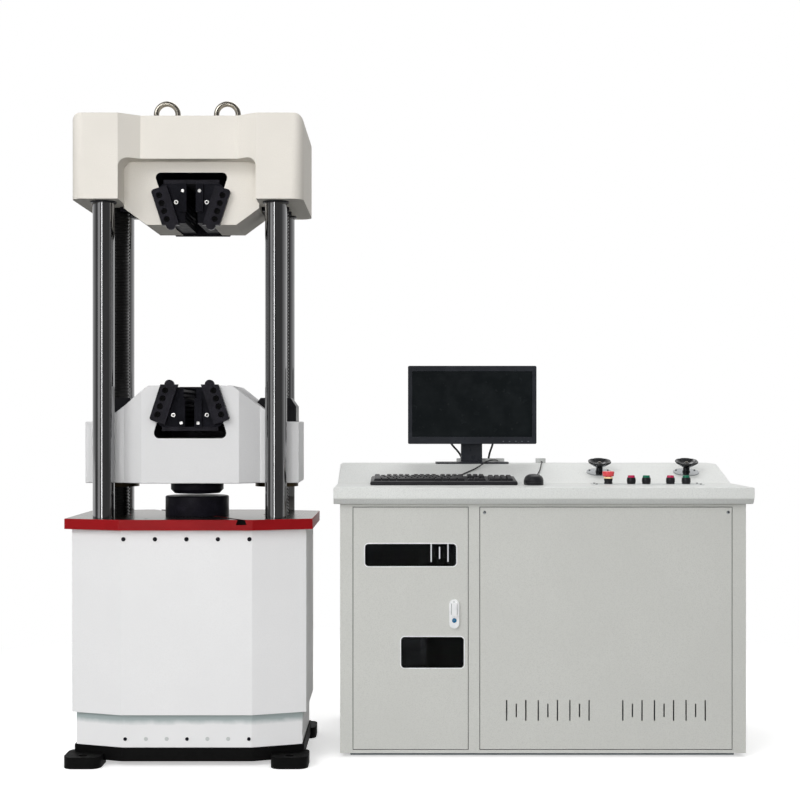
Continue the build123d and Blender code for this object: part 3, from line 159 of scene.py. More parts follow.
class Finish:
    """A node material that starts with one principled shader."""

    def __init__(self, name, colour, rough, metallic=0.0, specular=0.5):
        self.material = bpy.data.materials.new(name)
        self.material.use_nodes = True
        self.tree = self.material.node_tree
        self.shader = self.tree.nodes["Principled BSDF"]
        self.coordinates = self.tree.nodes.new("ShaderNodeTexCoord")
        self.normal = None
        self.shader.inputs["Base Color"].default_value = (*colour, 1.0)
        self.shader.inputs["Roughness"].default_value = rough
        self.shader.inputs["Metallic"].default_value = metallic
        self.shader.inputs["Specular IOR Level"].default_value = specular

    def node(self, kind, **values):
        """A new node with its input sockets set by name."""
        made = self.tree.nodes.new(kind)
        for key, value in values.items():
            made.inputs[key].default_value = value
        return made

    def link(self, out, into):
        self.tree.links.new(out, into)

    def place(self, stretch=(1.0, 1.0, 1.0)):
        """Position on the part in metres, stretched along each axis."""
        mapping = self.node("ShaderNodeMapping", Scale=stretch)
        self.link(self.coordinates.outputs["Object"], mapping.inputs["Vector"])
        return mapping.outputs["Vector"]

    def noise(self, scale, detail=4.0, rough=0.55, stretch=(1.0, 1.0, 1.0)):
        made = self.node("ShaderNodeTexNoise", Scale=scale, Detail=detail, Roughness=rough)
        self.link(self.place(stretch), made.inputs["Vector"])
        return made.outputs["Fac"]

    def band(self, value, low, high, start=0.0, end=1.0):
        """A value from low to high mapped to start to end, and held outside."""
        made = self.node("ShaderNodeMapRange")
        made.inputs["From Min"].default_value = low
        made.inputs["From Max"].default_value = high
        made.inputs["To Min"].default_value = start
        made.inputs["To Max"].default_value = end
        self.link(value, made.inputs["Value"])
        return made.outputs["Result"]

    def mix(self, amount, first, second):
        """Colour between two colours or colour outputs."""
        made = self.tree.nodes.new("ShaderNodeMix")
        made.data_type = "RGBA"
        self.link(amount, made.inputs["Factor"])
        for value, socket in ((first, made.inputs[6]), (second, made.inputs[7])):
            if isinstance(value, bpy.types.NodeSocket):
                self.link(value, socket)
            else:
                socket.default_value = (*value, 1.0)
        return made.outputs[2]

    def blotches(self, colour, tint, scale):
        """A colour with faint darker blotches."""
        darker = tuple(c * tint for c in colour)
        return self.mix(self.band(self.noise(scale), 0.35, 0.7), colour, darker)

    def speckles(self, even, specks):
        """A colour output with the fine grain of powder coat."""
        return self.mix(self.band(self.noise(SPECKLE_SCALE, 2.0), 0.45, 0.68), even, specks)

    def colour(self, out):
        self.link(out, self.shader.inputs["Base Color"])

    def rough(self, out):
        self.link(out, self.shader.inputs["Roughness"])

    def bump(self, height, strength, distance):
        """Adds a layer of bump over those already there."""
        made = self.node("ShaderNodeBump", Strength=strength, Distance=distance)
        self.link(height, made.inputs["Height"])
        if self.normal is not None:
            self.link(self.normal, made.inputs["Normal"])
        self.normal = made.outputs["Normal"]
        self.link(self.normal, self.shader.inputs["Normal"])

    def inside(self, low, high):
        """1 within a box between two corners in metres, 0 outside it."""
        out = self.coordinates.outputs["Object"]
        steps = (("SUBTRACT", (low + high) / 2), ("ABSOLUTE", None), ("DIVIDE", (high - low) / 2))
        for operation, value in steps:
            made = self.tree.nodes.new("ShaderNodeVectorMath")
            made.operation = operation
            if value is not None:
                made.inputs[1].default_value = value
            self.link(out, made.inputs[0])
            out = made.outputs["Vector"]
        parts = self.tree.nodes.new("ShaderNodeSeparateXYZ")
        self.link(out, parts.inputs["Vector"])
        widest = parts.outputs["X"]
        for axis in ("Y", "Z"):
            made = self.tree.nodes.new("ShaderNodeMath")
            made.operation = "MAXIMUM"
            self.link(widest, made.inputs[0])
            self.link(parts.outputs[axis], made.inputs[1])
            widest = made.outputs[0]
        return self.band(widest, 1.0, 1.0001, 1.0, 0.0)

    def facing_up(self, low, high):
        """0 on sides and undersides, 1 on level tops."""
        parts = self.tree.nodes.new("ShaderNodeSeparateXYZ")
        self.link(self.coordinates.outputs["Normal"], parts.inputs["Vector"])
        return self.band(parts.outputs["Z"], low, high)


def paint(name, colour, rough, tint=0.93, grain=0.0, grain_scale=900.0, blotch=6.0, specular=0.5, speckle=1.0,
          hollow=None):
    """Sprayed paint with blotches, speckles, orange peel and uneven gloss, and bare iron in a hollow."""
    finish = Finish(name, colour, rough, specular=specular)
    specks = tuple(c * tint * speckle for c in colour)
    coat = finish.speckles(finish.blotches(colour, tint, blotch), specks)
    finish.colour(finish.mix(finish.inside(*hollow), coat, BARE_IRON) if hollow else coat)
    finish.rough(finish.band(finish.noise(60.0), 0.3, 0.7, rough * 0.85, min(1.0, rough * 1.15)))
    finish.bump(finish.noise(grain_scale, 2.0), grain, 0.0006)
    return finish


def metal(name, colour, rough, stretch=(1.0, 1.0, 1.0), scale=160.0, grain=0.06):
    """Machined metal with lines along the short stretch axis and uneven polish."""
    finish = Finish(name, colour, rough, 1.0)
    lines = finish.noise(scale, 5.0, 0.6, stretch)
    darker = tuple(c * 0.8 for c in colour)
    finish.colour(finish.mix(finish.band(lines, 0.3, 0.7), colour, darker))
    finish.rough(finish.band(lines, 0.3, 0.7, rough * 0.75, min(1.0, rough * 1.3)))
    finish.bump(lines, grain, 0.0004)
    return finish


def plastic(name, colour, rough, grain=0.05, grain_scale=1600.0, specular=0.5):
    """Moulded plastic with a fine texture and slight unevenness in gloss."""
    finish = Finish(name, colour, rough, specular=specular)
    lighter = tuple(min(1.0, c * 1.25 + 0.003) for c in colour)
    finish.colour(finish.mix(finish.band(finish.noise(25.0), 0.4, 0.75), colour, lighter))
    finish.rough(finish.band(finish.noise(40.0), 0.3, 0.7, rough * 0.8, min(1.0, rough * 1.2)))
    finish.bump(finish.noise(grain_scale, 2.0), grain, 0.0003)
    return finish


def table_paint():
    """Red paint on the table's edge, a dark ground steel top, and painted shade, near black, inside the slot.
    """
    finish = Finish("table_red", RED, 0.34, specular=0.12)
    red = finish.blotches(RED, 0.78, 9.0)
    lines = finish.noise(120.0, 6.0, 0.65, (0.06, 1.0, 1.0))
    steel = finish.mix(finish.band(lines, 0.3, 0.7), (0.15, 0.135, 0.115), (0.07, 0.064, 0.055))
    top = finish.facing_up(0.90, 0.97)
    low, high = span("work_table")
    colour = finish.mix(top, red, steel)
    # The slot runs along a diagonal, so its two halves lie in two boxes, inside which the colour is painted
    # shade, near black
    halves = ((0, TABLE_SLOT_REACH, low.y + 1, 0), (-TABLE_SLOT_REACH, 0, 0, high.y - 1))
    for x_low, x_high, y_low, y_high in halves:
        slot_low = Vector((x_low, y_low, high.z - TABLE_SLOT_DEEP)) * MM
        slot_high = Vector((x_high, y_high, high.z - 0.5)) * MM
        colour = finish.mix(finish.inside(slot_low, slot_high), colour, (0.01, 0.01, 0.01))
    finish.colour(colour)
    finish.link(top, finish.shader.inputs["Metallic"])
    finish.rough(finish.band(top, 0.0, 1.0, 0.34, 0.26))
    finish.bump(lines, 0.05, 0.0004)
    return finish


def console_paint_and_inner_shade():
    """Fine textured powder coat outside; painted shade, near black, inside the cabinet and on the edges of
    the gaps round its door and panels.
    """
    finish = Finish("console_grey", GREY, 0.50)
    outside = finish.speckles(finish.blotches(GREY, 0.96, 5.0), tuple(c * 0.90 for c in GREY))
    low, high = span("cabinet_body")
    wall = Vector((SHEET / 2, SHEET / 10, SHEET / 2))
    # Painted shade: everything inside the cabinet's box is near black, down to the edges of the gaps round
    # the door just behind its front
    inside = finish.inside((low + wall) * MM, (high - wall) * MM)
    finish.colour(finish.mix(inside, outside, (0.045, 0.046, 0.048)))
    finish.rough(finish.band(finish.noise(60.0), 0.3, 0.7, 0.43, 0.57))
    finish.bump(finish.noise(850.0, 2.0), 0.22, 0.0006)
    return finish


def skirt_shadow_paint():
    """White paint of the lower skirt, with a painted shadow in grey just under the edge of the upper skirt.
    """
    finish = Finish("skirt_shadow_white", WHITE, 0.38)
    parts = finish.tree.nodes.new("ShaderNodeSeparateXYZ")
    finish.link(finish.place(), parts.inputs["Vector"])
    edge = span("upper_skirt")[0].z * MM
    ragged = finish.tree.nodes.new("ShaderNodeMath")
    ragged.operation = "MULTIPLY_ADD"
    ragged.inputs[1].default_value = SHADOW_BAND_RAGGED * MM
    finish.link(finish.noise(22.0), ragged.inputs[0])
    finish.link(parts.outputs["Z"], ragged.inputs[2])
    # Painted shadow: a grey band on the lower skirt just under the upper skirt's edge
    shadow_band = finish.band(ragged.outputs[0], edge - SHADOW_BAND_HEIGHT * MM, edge - SHADOW_BAND_HEIGHT * MM / 3)
    finish.colour(finish.mix(shadow_band, finish.blotches(WHITE, 0.965, 4.0), (0.36, 0.42, 0.42)))
    finish.rough(finish.band(finish.noise(60.0), 0.3, 0.7, 0.32, 0.44))
    finish.bump(finish.noise(700.0, 2.0), 0.04, 0.0006)
    return finish


def cavity(half_y, mouth, end):
    """Corners in metres of the room for the wedges, just inside the faces of a crosshead."""
    corner = Vector((CAVITY_HALF_X, half_y - 1, 0))
    low, high = sorted((mouth, end))
    return (Vector((0, 0, low)) - corner) * MM, (Vector((0, 0, high)) + corner) * MM


def tinted_glass():
    """Smoked acrylic that shows what is lit behind it."""
    finish = Finish("tinted_glass", (0.72, 0.74, 0.76), 0.02, specular=0.2)
    finish.shader.inputs["Transmission Weight"].default_value = 1.0
    finish.shader.inputs["IOR"].default_value = 1.08
    finish.rough(finish.band(finish.noise(30.0), 0.3, 0.7, 0.01, 0.04))
    return finish


upper_cavity = cavity(WEB_HALF_Y, span("upper_crosshead")[0].z + 1, UPPER_MOUTH + CAVITY_DEPTH)
mover_high = span("moving_crosshead")[1]
lower_cavity = cavity(mover_high.y, mover_high.z - 1, LOWER_MOUTH - CAVITY_DEPTH)
finishes = {
    "cast_black": paint("cast_black", (0.004, 0.004, 0.004), 0.60, 0.7, 0.35, 260.0, specular=0.06),
    "skirt_white": paint("skirt_white", WHITE, 0.38, 0.965, 0.04, 700.0, 4.0),
    "table_red": table_paint(),
    "column_chrome": metal("column_chrome", (0.30, 0.30, 0.305), 0.08, (1.0, 1.0, 0.06), 90.0, 0.004),
    "cream_paint": paint("cream_paint", CREAM, 0.55, 0.95, 0.10, 330.0, 5.0, 0.03, hollow=upper_cavity),
    "casting_white": paint("casting_white", (0.74, 0.74, 0.745), 0.55, 0.95, 0.10, 330.0, 5.0, 0.03,
                           hollow=lower_cavity),
    "steel": metal("steel", (0.46, 0.43, 0.37), 0.22),
    "black_oxide": paint("black_oxide", (0.014, 0.013, 0.019), 0.36, 0.4, 0.05, 500.0, 26.0, 0.10),
    "jaw_steel": paint("jaw_steel", (0.013, 0.013, 0.017), 0.45, 0.5, 0.05, 500.0, 22.0, 0.015),
    "screw_steel": metal("screw_steel", (0.06, 0.06, 0.06), 0.34, (1.0, 1.0, 4.0), 8.0),
    "nut_bronze": metal("nut_bronze", (0.08, 0.06, 0.035), 0.40),
    "cover_black": plastic("cover_black", (0.008, 0.008, 0.010), 0.40, specular=0.22),
    "machine_grey": paint("machine_grey", (0.16, 0.18, 0.20), 0.45, 0.85, 0.1),
    "console_grey": console_paint_and_inner_shade(),
    "desk_grey": paint("desk_grey", DESK, 0.46, 0.96, 0.30, 650.0, 5.0, speckle=0.90),
    "plinth_blue": paint("plinth_blue", (0.17, 0.20, 0.22), 0.50, 0.9, 0.1),
    "tinted_glass": tinted_glass(),
    "lock_white": plastic("lock_white", (0.82, 0.83, 0.84), 0.28),
    "panel_grey": paint("panel_grey", (0.56, 0.58, 0.575), 0.35, 0.95, 0.08),
    "collar_black": plastic("collar_black", (0.012, 0.012, 0.014), 0.35, specular=0.25),
    "stop_red": plastic("stop_red", (0.60, 0.055, 0.065), 0.25),
    "start_green": plastic("start_green", (0.006, 0.14, 0.075), 0.25),
    "dial_steel": metal("dial_steel", (0.36, 0.38, 0.39), 0.24),
    "wheel_black": plastic("wheel_black", (0.008, 0.009, 0.010), 0.16, 0.02),
    "monitor_black": plastic("monitor_black", (0.018, 0.020, 0.025), 0.32, 0.02, specular=0.2),
    "key_black": plastic("key_black", (0.013, 0.013, 0.015), 0.42, specular=0.25),
    "cord_rubber": plastic("cord_rubber", (0.012, 0.012, 0.012), 0.50, specular=0.25),
}
screen_glass = plastic("screen_glass", (0.006, 0.008, 0.009), 0.24, 0.0, specular=0.1)
bright_zinc = metal("bright_zinc", (0.82, 0.81, 0.79), 0.30)
key_blue = plastic("key_blue", (0.012, 0.13, 0.27), 0.25)
ring_yellow = plastic("ring_yellow", (0.93, 0.68, 0.36), 0.35)
cap_red = plastic("cap_red", (0.42, 0.012, 0.07), 0.25)
gland_grey = plastic("gland_grey", (0.50, 0.51, 0.50), 0.45)
tower_black = plastic("tower_black", (0.016, 0.017, 0.019), 0.40, specular=0.2)
own_finishes = {
    "pump_stop_button": cap_red,
    "drive_stop_button": cap_red,
    "cord_glands": gland_grey,
    "computer_tower": tower_black,
    # The lower skirt's paint carries a painted shadow under the upper skirt's edge
    "lower_skirt": skirt_shadow_paint(),
}


def dress_nodes():
    """Every node takes the finish of its material slot in the record, or one of its own."""
    for entry in frame["record"]["subparts"]:
        mesh = nodes[entry["node"]].data
        finish = own_finishes.get(entry["node"]) or finishes[entry["material_slot"]]
        mesh.materials.clear()
        mesh.materials.append(finish.material)


def link_object(name, data, body, slot, finish=None):
    """Puts a new piece in the scene, on a body, with a slot's finish or one of its own."""
    piece = bpy.data.objects.new(name, data)
    bpy.context.scene.collection.objects.link(piece)
    data.materials.append((finish or finishes[slot]).material)
    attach(piece, body)
    return piece


def cord_piece(name, route, diameter):
    """One smooth cord through its route, in millimetres, which ends in its gland."""
    curve = bpy.data.curves.new(name, "CURVE")
    curve.dimensions = "3D"
    curve.bevel_depth = diameter * MM / 2
    curve.bevel_resolution = 4
    curve.resolution_u = 10
    curve.use_fill_caps = True
    spline = curve.splines.new("NURBS")
    spline.points.add(len(route) - 1)
    for point, place in zip(spline.points, route):
        point.co = (*(MM * value for value in place), 1.0)
    spline.order_u = 3
    spline.use_endpoint_u = True
    piece = link_object(name, curve, "stand", "cord_rubber")
    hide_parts(name)


def cords():
    cord_piece("keyboard_cord", [
        (804, 170, 829), (804, 202, 829), (820, 246, 836), (850, 292, 847), (884, 336, 859), (918, 380, 881),
        (942, 420, 884), (955, 460, 882), (961, 493, 879), (962, 524, 878)], 4.5)
    cord_piece("mouse_cord", [
        (1046, 119, 824), (1046, 144, 824), (1053, 186, 821.5), (1066, 232, 831.5), (1081, 278, 843),
        (1092, 328, 856), (1101, 382, 876), (1107, 420, 877), (1111, 460, 873.5), (1113, 494, 875),
        (1112, 524, 876)], 3.6)
    power = [(786, 452, 1000), (786, 452, 974), (793, 461, 951), (807, 480, 930), (825, 504, 912),
             (838, 521, 894), (843, 528, 876)]
    signal = [(947, 452, 1000), (947, 452, 974), (946, 462, 950), (942, 482, 929), (937, 505, 912),
              (933, 521, 894), (931, 528, 875)]
    for name, route, length in (("monitor_power", power, 165), ("monitor_signal", signal, 154)):
        relief = strain_relief(name + "_relief", route[0])
        cord_piece(name + "_lead", route, 7.0)


def strain_relief(name, top):
    """Tapered, ribbed sleeve that hangs from a socket over the start of a lead."""
    ribs = 5
    profile = [(0, 0), (7.5, 0), (7.5, 5)]
    for rib in range(ribs):
        start = 5 + rib * 4
        wide = 6.6 - 0.45 * rib
        profile += [(wide, start), (wide, start + 2.6), (wide - 0.9, start + 2.8), (wide - 0.9, start + 4)]
    bm = bmesh.new()
    add_turned(bm, profile + [(3.6, 5 + ribs * 4), (0, 5 + ribs * 4)], top, (0, 0, -1))
    return mesh_piece(name, bm, "stand", "cord_rubber", 30)


def mesh_piece(name, bm, body, slot, smooth=None, finish=None):
    """Turns a bmesh in metres into a piece; faces shade smooth below the given angle in degrees."""
    bmesh.ops.recalc_face_normals(bm, faces=bm.faces)
    mesh = bpy.data.meshes.new(name)
    bm.to_mesh(mesh)
    bm.free()
    if smooth is not None:
        mesh.shade_smooth()
        mesh.set_sharp_from_angle(angle=math.radians(smooth))
    return link_object(name, mesh, body, slot, finish)


def aim(origin, axis):
    """Transform from millimetres that puts local Z along an axis at an origin."""
    turn = Vector(axis).to_track_quat("Z", "Y").to_matrix().to_4x4()
    return Matrix.Translation(Vector(origin) * MM) @ turn @ Matrix.Scale(MM, 4)


def add_loft(bm, loops, place, capped=True):
    """Adds a skin through loops of points, each a list of as many (x, y, z), set in a place."""
    rings = [[bm.verts.new(place @ Vector(point)) for point in loop] for loop in loops]
    for low, high in zip(rings, rings[1:]):
        for i in range(len(low)):
            j = (i + 1) % len(low)
            bm.faces.new((low[i], low[j], high[j], high[i]))
    if capped:
        bm.faces.new(rings[0])
        bm.faces.new(rings[-1])


def add_turned(bm, profile, origin, axis, segments=24):
    """Adds a turned solid: profile is (radius, height) pairs, closed at zero radius."""
    place = aim(origin, axis)
    rings = []
    for radius, height in profile:
        if radius == 0:
            rings.append([bm.verts.new(place @ Vector((0, 0, height)))])
            continue
        angles = [2 * math.pi * i / segments for i in range(segments)]
        rings.append([bm.verts.new(place @ Vector((radius * math.cos(a), radius * math.sin(a), height)))
                      for a in angles])
    for low, high in zip(rings, rings[1:]):
        for i in range(segments):
            j = (i + 1) % segments
            corners = [low[i % len(low)], low[j % len(low)], high[j % len(high)], high[i % len(high)]]
            bm.faces.new(list(dict.fromkeys(corners)))


def add_ring(bm, inner, outer, height, origin, axis, segments=40):
    """Adds a ring with a square section and a small bevel on its free edge."""
    edge = min(1.0, height / 3)
    add_turned(bm, [(inner, 0), (outer, 0), (outer, height - edge), (outer - edge, height), (inner, height),
                    (inner, 0)], origin, axis, segments)


def add_socket_head(bm, origin, axis, radius, height):
    """Adds a screw head with a rounded rim and a sunk hexagon socket."""
    deep = height * 0.4
    socket = radius * 0.5
    add_turned(bm, [(0, 0), (radius, 0), (radius, height * 0.75), (radius * 0.86, height), (socket, height),
                    (socket, deep), (0, deep)], origin, axis)


def add_hex_head(bm, origin, axis, across, height):
    """Adds a hexagon bolt head on its washer face."""
    washer = height * 0.15
    corner = across / math.sqrt(3)
    add_turned(bm, [(0, 0), (across * 0.62, 0), (across * 0.62, washer), (0, washer)], origin, axis)
    seat = Vector(origin) + Vector(axis).normalized() * washer
    add_turned(bm, [(0, 0), (corner, 0), (corner, height * 0.72), (corner * 0.86, height - washer),
                    (0, height - washer)], seat, axis, 6)


def rounded_rectangle(x, y, width, depth, radius, steps=5):
    """Points round a rectangle with rounded corners."""
    points = []
    for quarter, (sx, sy) in enumerate(((1, 1), (-1, 1), (-1, -1), (1, -1))):
        middle = Vector((x + sx * (width / 2 - radius), y + sy * (depth / 2 - radius)))
        for step in range(steps + 1):
            angle = math.radians(90 * (quarter + step / steps))
            points.append(middle + radius * Vector((math.cos(angle), math.sin(angle))))
    return points


def add_pad(bm, size, radius, height, origin, axis, edge=0.6):
    """Adds a low rounded pad with a bevelled rim on a face."""
    width, depth = size
    outer = rounded_rectangle(0, 0, width, depth, radius)
    inner = rounded_rectangle(0, 0, width - 2 * edge, depth - 2 * edge, max(radius - edge, 0.1))
    loops = [[(*p, 0) for p in outer], [(*p, height - edge) for p in outer], [(*p, height) for p in inner]]
    add_loft(bm, loops, aim(origin, axis))


def soften(name, width, segments=2, angle=35.0):
    """Rounds the sharp edges of a node or piece a little, so that they catch the light."""
    piece = bpy.data.objects[name]
    weld = piece.modifiers.new("weld", "WELD")
    weld.merge_threshold = 0.00002
    edge = piece.modifiers.new("edge", "BEVEL")
    edge.width = width * MM
    edge.segments = segments
    edge.limit_method = "ANGLE"
    edge.angle_limit = math.radians(angle)
    edge.harden_normals = True


def lead_screw_thread(name, x, body):
    """Lead screw with a cut trapezoid thread over the length that shows."""
    steps = 28
    foot = span(name)[0].z
    root = SCREW_RADIUS - THREAD_DEPTH
    # Share of a pitch and radius at each corner of the thread's section
    section = ((0.0, root), (0.22, root), (0.36, SCREW_RADIUS), (0.66, SCREW_RADIUS), (0.80, root))
    turns = int((THREAD_TOP - THREAD_LOW) / THREAD_PITCH) - 1
    bm = bmesh.new()
    columns = []
    for i in range(turns * steps + 1):
        angle = 2 * math.pi * i / steps
        rise = THREAD_LOW + THREAD_PITCH * i / steps
        corners = [(x + radius * math.cos(angle), radius * math.sin(angle), rise + share * THREAD_PITCH)
                   for share, radius in section]
        columns.append([bm.verts.new(MM * Vector(corner)) for corner in corners])
    for i, (first, second) in enumerate(zip(columns, columns[1:])):
        for j in range(len(section) - 1):
            bm.faces.new((first[j], second[j], second[j + 1], first[j + 1]))
        if i + steps + 1 < len(columns):
            bm.faces.new((first[-1], second[-1], columns[i + steps + 1][0], columns[i + steps][0]))
    core = THREAD_TOP - THREAD_LOW
    add_turned(bm, [(0, 0), (root, 0), (root, core - 2), (root - 2, core), (0, core)], (x, 0, THREAD_LOW),
               (0, 0, 1), 32)
    shank = THREAD_LOW - foot
    add_turned(bm, [(0, 0), (SCREW_RADIUS, 0), (SCREW_RADIUS, shank), (0, shank)], (x, 0, foot),
               (0, 0, 1), 32)
    piece = mesh_piece(name + "_thread", bm, body, "screw_steel", 35)
    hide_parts(name)


def skirt_screws():
    """Dark screws in the front and back of both skirts, and painted plugs low down, coloured grey as painted
    shade for their faint outlines.
    """
    upper_low, upper_high = span("upper_skirt")
    lower_low, lower_high = span("lower_skirt")
    upper, lower, plugs = bmesh.new(), bmesh.new(), bmesh.new()
    for way, upper_y, lower_y in ((-1, upper_low.y, lower_low.y), (1, upper_high.y, lower_high.y)):
        for x in SKIRT_SCREWS:
            add_socket_head(upper, (x, upper_y, upper_high.z - SKIRT_SCREW_DROP), (0, way, 0), 6.4, 3.0)
        row = lower_low.z + FOOT_ROW_RISE
        for x in FOOT_SCREWS:
            add_socket_head(lower, (x, lower_y, row), (0, way, 0), 5.2, 3.0)
        # The plugs' grey is painted shade for their faint outlines on the white skirt
        for x in FOOT_PLUGS:
            add_turned(plugs, [(0, 0), (6.0, 0), (5.8, 0.5), (4.9, 0.5), (4.7, 0.2), (4.0, 0.9), (0, 1.1)],
                       (x, lower_y, row), (0, way, 0))
    mesh_piece("upper_skirt_screws", upper, "ram", "black_oxide", 30)
    mesh_piece("lower_skirt_screws", lower, "stand", "black_oxide", 30)
    mesh_piece("lower_skirt_plugs", plugs, "stand", "panel_grey", 30)


def crosshead_bolts():
    """Hexagon bolts round each lead screw, and a black ring round each column under the upper crosshead as
    painted shadow where the column meets it.
    """
    bolts, shadow_rings = bmesh.new(), bmesh.new()
    for side in SIDES:
        for x in (-BOLT_X, BOLT_X):
            for y in (-BOLT_Y, BOLT_Y):
                add_hex_head(bolts, (side * SCREW_X + x, y, HEAD_LOW), (0, 0, -1), 22, 13)
        # Painted shadow: a black ring where each column meets the crosshead
        for y in (-COLUMN_Y, COLUMN_Y):
            add_ring(shadow_rings, 32.8, 39, 5, (side * COLUMN_X, y, HEAD_LOW), (0, 0, -1))
    mesh_piece("crosshead_bolts", bolts, "ram", "black_oxide", 30)
    mesh_piece("column_seals", shadow_rings, "ram", "cover_black", 30)


def table_screws():
    """Two small countersunk screws near the front edge of the table."""
    low, high = span("work_table")
    bm = bmesh.new()
    for x in (-176, -124):
        add_turned(bm, [(0, -1), (4, -1), (4, 0.3), (2.2, 0.5), (2.0, -0.6), (0, -0.6)],
                   (x, low.y + 50, high.z), (0, 0, 1))
    mesh_piece("table_screws", bm, "ram", "black_oxide", 30)


def grip_bolts(name, body, plates, mouth, way):
    """Socket bolts sunk in the counterbores of a grip's side plates."""
    seat = span(plates)[0].y + COUNTERBORE_DEPTH
    bm = bmesh.new()
    for side in SIDES:
        for i in range(GRIP_BOLTS):
            reach = GRIP_BOLT_FIRST + i * GRIP_BOLT_PITCH
            x = GRIP_BOLT_LINE + reach * math.sin(GRIP_TILT)
            z = mouth + way * reach * math.cos(GRIP_TILT)
            add_socket_head(bm, (side * x, seat, z), (0, -1, 0), 8.2, 8.0)
    mesh_piece(name, bm, body, "cast_black", 30)


def jaw_fittings(jaw, body, mouth, way, washer_x, washer_depth, screw_depth):
    """Bright washer round a dark pin on a jaw's face, and a bright screw in its keeper bar."""
    low = span(jaw)[0]
    side = 1 if low.x > 0 else -1
    spot = (side * washer_x, low.y + KEEPER_PROUD, mouth + way * washer_depth)
    bm, pin = bmesh.new(), bmesh.new()
    add_ring(bm, 3.4, 6.6, 1.6, spot, (0, -1, 0), 24)
    add_socket_head(pin, spot, (0, -1, 0), 3.3, 2.8)
    mesh_piece(jaw + "_pin", pin, body, "cast_black", 30)
    add_socket_head(bm, (side * KEEPER_X, low.y, mouth + way * screw_depth), (0, -1, 0), 5.2, 2.6)
    mesh_piece(jaw + "_fittings", bm, body, "steel", 30, bright_zinc)


def grip_fittings():
    grip_bolts("upper_grip_bolts", "ram", "upper_grip_plates", UPPER_MOUTH, 1)
    grip_bolts("lower_grip_bolts", "crosshead", "lower_grip_plates", LOWER_MOUTH, -1)
    for side in ("left", "right"):
        jaw_fittings("upper_jaw_" + side, f"upper_{side}_jaw", UPPER_MOUTH, 1,
                     washer_x=46, washer_depth=71, screw_depth=104)
        jaw_fittings("lower_jaw_" + side, f"lower_{side}_jaw", LOWER_MOUTH, -1,
                     washer_x=50, washer_depth=91, screw_depth=115)


# Key widths in key units from the left of each row, the front row first; a negative width is a gap.
KEY_ROWS = (
    (1.25, 1.25, 1.25, 6.25, 1.25, 1.25, 1.25, 1.25, -0.5, 1, 1, 1, -0.5, 2, 1, 1),
    (2.25, *[1] * 10, 2.75, -1.5, 1, -1.5, 1, 1, 1, 1),
    (1.75, *[1] * 11, 2.25, -4, 1, 1, 1, 1),
    (1.5, *[1] * 12, 1.5, -0.5, 1, 1, 1, -0.5, 1, 1, 1, 1),
    (*[1] * 13, 2, -0.5, 1, 1, 1, -0.5, 1, 1, 1, 1),
    (1, -1, 1, 1, 1, 1, -0.5, 1, 1, 1, 1, -0.5, 1, 1, 1, 1, -0.5, 1, 1, 1),
)
KEY_UNITS = 23
KEY_MARGIN = 12
KEY_ROW_FIRST = 20
KEY_ROW_PITCH = 21
KEY_DEPTH = 18
KEY_RISE = 7
KEY_GAP = 1.6
KEY_TAPER = 2.4
DECK_FRONT = 12
DECK_REAR = 24


def keyboard():
    """Wedge shaped case with a rolled front edge, and separate tapered keys in their usual blocks."""
    low, high = span("keyboard")
    width, depth = high.x - low.x, high.y - low.y
    middle_x, middle_y = (low.x + high.x) / 2, (low.y + high.y) / 2
    slope = (DECK_REAR - DECK_FRONT) / depth

    def loop(inset, level, lift):
        plan = rounded_rectangle(middle_x, middle_y, width - 2 * inset, depth - 2 * inset, 7)
        return [(p.x, p.y, low.z + level + lift * (p.y - low.y) * slope) for p in plan]

    flat = Matrix.Scale(MM, 4)
    case = bmesh.new()
    add_loft(case, [loop(3, 0, 0), loop(0.4, 2.5, 0.2), loop(0, 5, 0.5), loop(1, DECK_FRONT - 3, 0.9),
                    loop(3.5, DECK_FRONT - 0.6, 1), loop(6.5, DECK_FRONT, 1)], flat)
    piece = mesh_piece("keyboard_case", case, "stand", "key_black", 40)
    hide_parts("keyboard")

    keys = bmesh.new()
    unit = (width - 2 * KEY_MARGIN) / KEY_UNITS
    for number, row in enumerate(KEY_ROWS):
        x = low.x + KEY_MARGIN
        y = low.y + KEY_ROW_FIRST + number * KEY_ROW_PITCH
        for units in row:
            if units > 0:
                add_key(keys, x, x + units * unit - KEY_GAP, y, low.z + DECK_FRONT, low.y, slope)
            x += abs(units) * unit
    mesh_piece("keyboard_keys", keys, "stand", "key_black")
    soften("keyboard_keys", 0.6, 2)


def add_key(bm, left, right, front, deck, case_front, slope):
    """Adds one tapered key that stands on the sloped deck."""
    loops = []
    for inset, rise in ((0, -1), (0, 1.5), (KEY_TAPER, KEY_RISE)):
        loop = []
        for x, y in ((left + inset, front + inset * 0.6), (right - inset, front + inset * 0.6),
                     (right - inset, front + KEY_DEPTH - inset), (left + inset, front + KEY_DEPTH - inset)):
            loop.append((x, y, deck + (y - case_front) * slope + rise))
        loops.append(loop)
    add_loft(bm, loops, Matrix.Scale(MM, 4))


